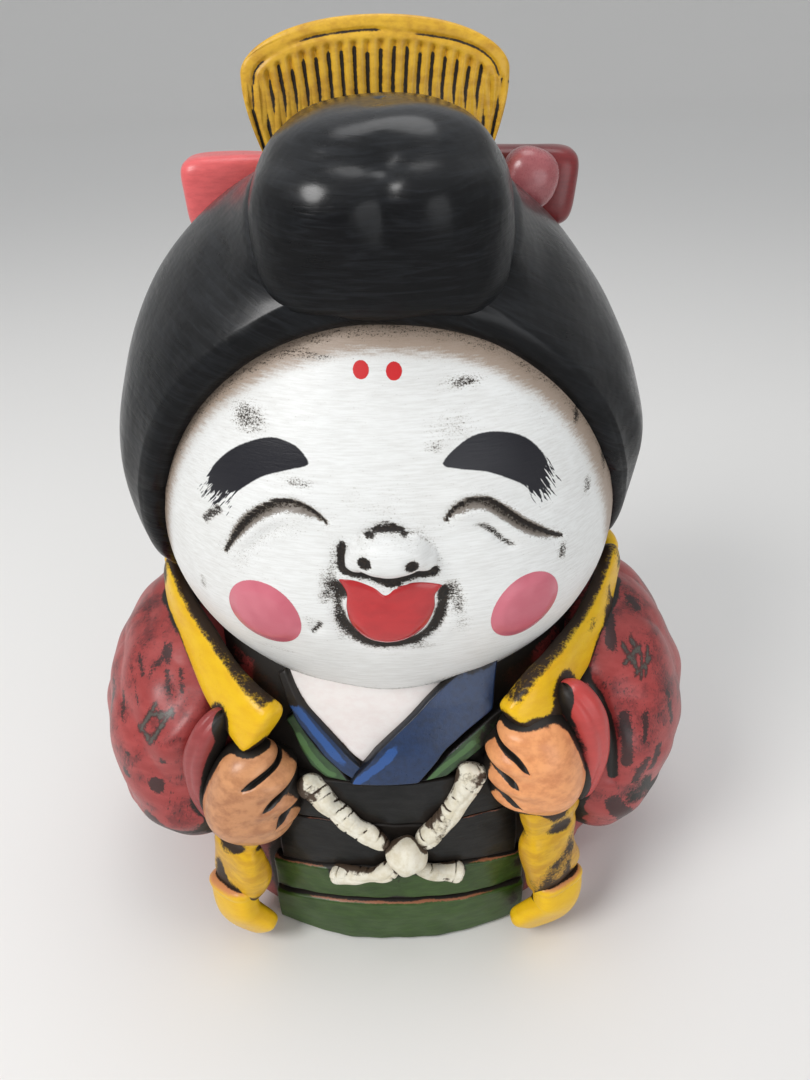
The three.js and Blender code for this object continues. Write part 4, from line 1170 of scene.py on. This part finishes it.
print("sleeves")
sleeveEgg = {"radii": (25.5, 42, 35.5), "below": 34.5, "upper": 1, "lower": 0.9}
sleeveInk = {
    "left": [
        ([(-42.8, 63.4)], 3.2), ([(-56.9, 49.6)], 2.1), ([(-65.6, 49.5)], 1.2), ([(-63.8, 56)], 0.7),
        ([(-54.2, 57)], 0.7), ([(-48.9, 52)], 0.8), ([(-54.2, 75.2)], 1.2),
        ([(-54.6, 75), (-57.9, 72.4)], 0.35),
        ([(-53.7, 72.8), (-52.5, 70.2)], 0.4),
        ([(-50.4, 72.8), (-49.8, 70.5)], 0.45), ([(-61.8, 74), (-60, 71.6)], 0.3),
        ([(-61.7, 69), (-60.6, 66.6)], 0.3),
        ([(-65.8, 66), (-65.6, 61.5)], 0.3), ([(-70.2, 64), (-70.8, 58)], 0.5),
        ([(-61, 37), (-55, 34), (-48, 32.5)], 2.2),
    ],
    "right": [
        ([(52.9, 78.4), (52.2, 76)], 1.3), ([(53.7, 63.2), (54.2, 54)], 1.4), ([(59, 62.6), (58.5, 58.6)], 0.8),
        ([(59.1, 53), (57.2, 48.2)], 1.2), ([(62.4, 54.6), (61, 50)], 0.9), ([(49.4, 61.2), (50, 57)], 0.7),
        ([(59, 79), (62.3, 76.8)], 0.4), ([(52.8, 80.4)], 0.7), ([(66, 64), (67.4, 57)], 0.5),
        ([(52, 42), (57, 34)], 2.2),
    ],
}
sleeveMotif = {  # the splashed pattern: two pairs of short crossing dabs
    "left": [
        ([(-55.6, 68.4), (-60.2, 61.8)], 0.55), ([(-51.9, 67.4), (-57.4, 60.4)], 0.55),
        ([(-57.2, 66.2), (-51.6, 66.8)], 0.5),
        ([(-60.3, 62.4), (-56.8, 61.4)], 0.5), ([(-54.6, 66.2)], 0.8), ([(-56.2, 68)], 0.5),
        ([(-57.8, 61)], 0.8),
    ],
    "right": [
        ([(55.0, 75.2), (57.8, 71.4)], 0.5), ([(57.4, 75.4), (59.2, 73.4)], 0.5),
        ([(54.6, 72.8), (59.6, 74)], 0.5),
        ([(57.2, 70.6), (61.8, 71.6)], 0.5), ([(59.4, 72.4), (58.6, 69.6)], 0.5),
        ([(61.5, 73.2), (60, 69.8)], 0.5),
        ([(57.3, 72.6)], 0.7), ([(60.2, 70.6)], 0.7),
    ],
}
sleeveFold = {
    "left": [(59, 56.5), (52.5, 60.5), (46, 66), (44, 69)], "right": [(45, 70.4), (48.6, 66.4), (50.6, 59),
        (51.2, 50)],
}
for side, word in ((-1, "left"), (1, "right")):
    low, high = nodeBox(f"sleeve_{word}")
    outer = high[0] if side > 0 else -low[0]
    egg = dict(sleeveEgg, at=np.array([side * (outer - 25.5), -2, high[2] - 35.5]))
    grid = eggPoints(ballGrid(200, 280), egg)
    x, y, z = grid[..., 0] * side, grid[..., 1], grid[..., 2]
    front = smooth(y, -8, -22)
    gap, share = nearLine(np.stack([x, z], -1), sleeveFold[word], 30)
    ridge = front * smooth(share, 0.0, 0.3) * (2.0 * bell(gap, 3.4) if word == "left" else -1.4 * bell(gap, 1.6))
    hollow = -1.8 * front * np.exp(-(((x - 50) / 8) ** 2) - ((z - 50) / 6) ** 2) * (word == "left")
    under = 1.2 * front * bell(z - 37 + (x - 57) * 0.25, 3.5) - 2.2 * smooth(z, 34, 22) * front
    facets = 0.9 * np.abs(lumps(grid, 17, 61 + side)) + 0.5 * np.abs(lumps(grid, 11, 65 + side))
    slant = (3.6 if word == "right" else 1.5) * smooth(z, 58, 26) * smooth(x, 52, 66)
    grid = push(grid, ridge + hollow + under + facets - slant + 0.3 * lumps(grid, 6, 63 + side))
    ink, motif = np.full(x.size, -10.0), np.full(x.size, -10.0)
    seen = (grid[..., 1] < -8).ravel()
    spread = grid[..., [0, 2]].reshape(-1, 2)[seen]
    ink[seen], motif[seen] = strokes(spread, sleeveInk[word]), strokes(spread, sleeveMotif[word])
    # painted shade: darker towards the bottom of each sleeve's front, along the crease under its edge and in patches,
    # and on the right sleeve's lower outer side
    wash = 0.4 * smooth(z, 38, 28) * front + 0.5 * bell(z - 34.5 + (x - 57) * 0.3, 2.0) * front
    shadePatches = smooth(lumps(grid, 7, 91), -0.25, 0.25) * front
    if word == "right":
        wash = np.maximum(wash, front * bell(gap, 1.3) * 0.6)
        wash = np.maximum(wash, 0.66 * smooth(z, 60, 40) * smooth(x, 48, 58) * shadePatches)
    wash = np.maximum(wash, 0.62 * smooth(z, 44, 32) * shadePatches)
    wash = wash - (0.35 if word == "right" else 0.8) * smooth(x, 54, 49) * smooth(z, 44, 50) * front
    marks = {
        "wash": wash, "ink": np.maximum(ink, motif).reshape(x.shape), "front": np.zeros(x.shape),
        "grey": smooth(motif, -1.0, 0.0).reshape(x.shape),
    }
    addPiece(f"sleeve_{word}_wide", grid, [f"sleeve_{word}"],
             paintedClay(f"coat_red_sleeve_{word}", **coatLook), marks)

print("hands")
fingerLines = {
    "left": [
        [(-23.4, 62.8), (-28.4, 61.8), (-33.5, 59.4)], [(-22.0, 58.0), (-26, 55.4), (-29.4, 52.8)],
        [(-21.0, 52.0), (-24.5, 49.6), (-27.4, 46.0)],
    ],
    "right": [
        [(22.2, 67.2), (26, 65.6), (29.2, 62.6)], [(20.6, 61.3), (24, 60), (27.2, 57.6)],
        [(21.5, 55.0), (25, 52.8), (28.9, 49.8)],
    ],
}
for side, word in ((-1, "left"), (1, "right")):
    lump = {
        "at": np.array([side * 32.5 - 0.7, -45.5, handRise[word] - (2 if side < 0 else 0.5)]),
        "radii": (10.9, 9.8, 15), "turn": (0.12, side * -0.12, 0), "power": 0.92,
    }
    grid = lumpPoints(ballGrid(190, 240), lump)
    x, y, z = grid.transpose(2, 0, 1)
    inner = smooth(x * side, 36, 22)
    front = smooth(y, -42, -48)
    heights = [line[1][1] for line in fingerLines[word]]
    knuckles = 0.6 * np.cos((z - heights[1]) / (heights[0] - heights[2]) * 4 * math.pi + math.pi)
    knuckles = knuckles * inner * smooth(z, 42, 47) * smooth(z, 74, 68)
    wrist = 1.4 * np.exp(-(((x * side - 39) / 6) ** 2) - ((z - handRise[word] + 6) / 7) ** 2) * front
    groove = np.zeros(x.shape)
    wash = np.zeros(x.shape)
    for line in fingerLines[word]:
        gap, share = nearLine(np.stack([x, z], -1), line)
        fade = smooth(share, 1.0, 0.75)
        groove = np.maximum(groove, bell(gap, 0.55) * (0.35 + 0.65 * fade) * (y < -40))
        wash = np.maximum(wash, smooth(gap, 0.62 * (0.5 + fade), 0.15) * (0.4 + 0.55 * fade) * (y < -40))
    # painted shade with the wash: darker towards the bottom and the top of the fist, where the lapel and the sleeve
    # meet it
    wash = np.maximum(wash, 0.55 * smooth(z, handRise[word] - 9, handRise[word] - 14))
    wash = np.maximum(wash, 0.45 * smooth(z, handRise[word] + 10, handRise[word] + 14))
    grid = push(grid, knuckles + wrist - 1.6 * groove + 0.35 * lumps(grid, 9, 71 + side))
    look = ((0.65, 0.31, 0.14), (0.38, 0.155, 0.068)) if word == "left" else ((0.84, 0.37, 0.15),
        (0.58, 0.21, 0.080))
    addPiece(f"hand_{word}_fist", grid, [f"hand_{word}"], paintedClay(
        f"hand_clay_{word}", *look, stroke=(0.35, 0.35, 0.5), roughness=0.33, hold=1.1, bump=0.05), {"wash": wash})

# Hollows.
# The doll as a block of small cells: full or empty. Blurred, it tells how much clay surrounds each point: more
# than half in a crevice, less than half on a ridge. The crevices darken with the wash and with painted shade, and
# the broader blur adds painted shade in recesses and between pieces.
print("hollows")
cell = 1.25
every = np.concatenate([part for _, points, _, centres in pieces.values() for part in (points, centres)])
corner = every.min(0) - 8 * cell
size = np.ceil((every.max(0) + 8 * cell - corner) / cell).astype(int)
filled = np.zeros(size, bool)
filled[tuple(((every - corner) / cell).astype(int).T)] = True
filled[:, :, : int((0.6 - corner[2]) / cell)] = False
outside = np.zeros(size, bool)
outside[0] = outside[-1] = outside[:, 0] = outside[:, -1] = outside[:, :, 0] = outside[:, :, -1] = True
outside &= ~filled
count = 0
while outside.sum() != count:  # sweep the outside air along each axis, both ways, until it stops growing
    count = outside.sum()
    for axis in range(3):
        for way in (1, -1):
            air = np.moveaxis(outside, axis, 0)[::way]
            free = np.moveaxis(~filled, axis, 0)[::way]
            for k in range(1, len(air)):
                air[k] |= air[k - 1] & free[k]
clay = (~outside).astype(np.float32)


def blurred(field, width):
    reach = int(width * 3)
    weight = np.exp(-((np.arange(-reach, reach + 1) / width) ** 2) / 2)
    weight /= weight.sum()
    for axis in range(3):
        field = sum(w * np.roll(field, k - reach, axis) for k, w in enumerate(weight))
    return field


def sampled(field, points):  # between cells, by trilinear weights
    place = (points - corner) / cell - 0.5
    base = np.clip(place.astype(int), 0, np.array(size) - 2)
    share = place - base
    total = 0
    for step in np.ndindex(2, 2, 2):
        weight = np.prod(np.where(step, share, 1 - share), axis=1)
        total = total + weight * field[tuple((base + step).T)]
    return total


near, wide = blurred(clay, 1.3), blurred(clay, 3.2)
for piece, points, normals, _ in pieces.values():
    close = sampled(near, points + normals * 0.5)
    broad = sampled(wide, points + normals * 1.5)
    # painted shade with the wash: the close blur darkens crevices, the broad one whole recesses and gaps between
    # pieces
    hollow = np.maximum(smooth(close, 0.48, 0.78), 0.75 * smooth(broad, 0.5, 0.85))
    layer = piece.data.attributes.new("hollow", "FLOAT", "POINT")
    layer.data.foreach_set("value", hollow.astype(np.float32))

print("stage")
view = {"eye": (3.6, -181.0, 195.0), "down": 30.0, "roll": 1.5, "lens": 27.03}


def makeFloor():  # a round floor whose far rim rises as the square of the way out, so that no edge shows
    radius = np.concatenate([[0, 1.0, 2.5], np.linspace(4.5, 7.5, 13)])
    height = 4.6 * np.clip((radius - 4.5) / 3, 0, 1) ** 2
    turn = np.arange(96) / 96 * 2 * math.pi
    out, up = radius[1:, None], height[1:, None]
    grid = np.stack([out * np.cos(turn), out * np.sin(turn), up + 0 * turn], -1)
    ring = 1 + np.arange(grid[..., 0].size).reshape(grid.shape[:2])
    quads = np.stack([ring[:-1], ring[1:], np.roll(ring[1:], -1, 1), np.roll(ring[:-1], -1, 1)], -1).reshape(-1, 4)
    middle = np.stack([np.zeros_like(ring[0]), ring[0], np.roll(ring[0], -1)], -1)
    mesh = bpy.data.meshes.new("floor")
    mesh.from_pydata(np.vstack([[(0, 0, 0)], grid.reshape(-1, 3)]), [], middle.tolist() + quads.tolist())
    mesh.shade_smooth()
    g = Graph("floor_pale")
    shade = g.node("ShaderNodeBsdfPrincipled", {}, {"Base Color": (0.82, 0.81, 0.79, 1), "Roughness": 0.7})
    g.node("ShaderNodeOutputMaterial", {}, {0: shade})
    mesh.materials.append(g.material)
    floor = bpy.data.objects.new("floor", mesh)
    bpy.context.collection.objects.link(floor)


makeFloor()
camera = bpy.data.objects.new("camera", bpy.data.cameras.new("camera"))
bpy.context.collection.objects.link(camera)
camera.data.lens = view["lens"]
camera.data.sensor_width = 36
camera.data.clip_start = 0.01
down, roll = math.radians(view["down"]), math.radians(view["roll"])
forward = Vector((0, math.cos(down), -math.sin(down)))
level = Vector((1, 0, 0))
rise = level.cross(forward)
right = level * math.cos(roll) - rise * math.sin(roll)
top = rise * math.cos(roll) + level * math.sin(roll)
aim = Matrix((right, top, -forward)).transposed().to_4x4()
camera.matrix_world = Matrix.Translation(toMetres(np.array(view["eye"]))) @ aim
bpy.context.scene.camera = camera


def addLight(name, at, target, size, power, colour=(1, 1, 1)):
    data = bpy.data.lights.new(name, "AREA")
    data.shape, data.size, data.energy, data.color = "DISK", size, power, colour
    light = bpy.data.objects.new(name, data)
    bpy.context.collection.objects.link(light)
    light.location = at
    light.rotation_euler = (Vector(target) - Vector(at)).to_track_quat("-Z", "Y").to_euler()


addLight("key", (-0.55, -0.45, 0.75), (0, 0, 0.1), 0.42, 4.9, (1, 0.99, 0.98))
addLight("fill", (0.45, -0.75, 0.2), (0, 0, 0.1), 0.6, 1.75, (0.95, 0.97, 1))
addLight("above", (0.05, 0.1, 0.95), (0, 0, 0.1), 0.5, 1.6)
world = bpy.data.worlds.new("world")
world.use_nodes = True
world.node_tree.nodes["Background"].inputs["Color"].default_value = (0.9, 0.92, 0.95, 1)
world.node_tree.nodes["Background"].inputs["Strength"].default_value = 0.62
bpy.context.scene.world = world
bpy.context.scene.view_settings.view_transform = "Standard"  # paint shows as it was mixed
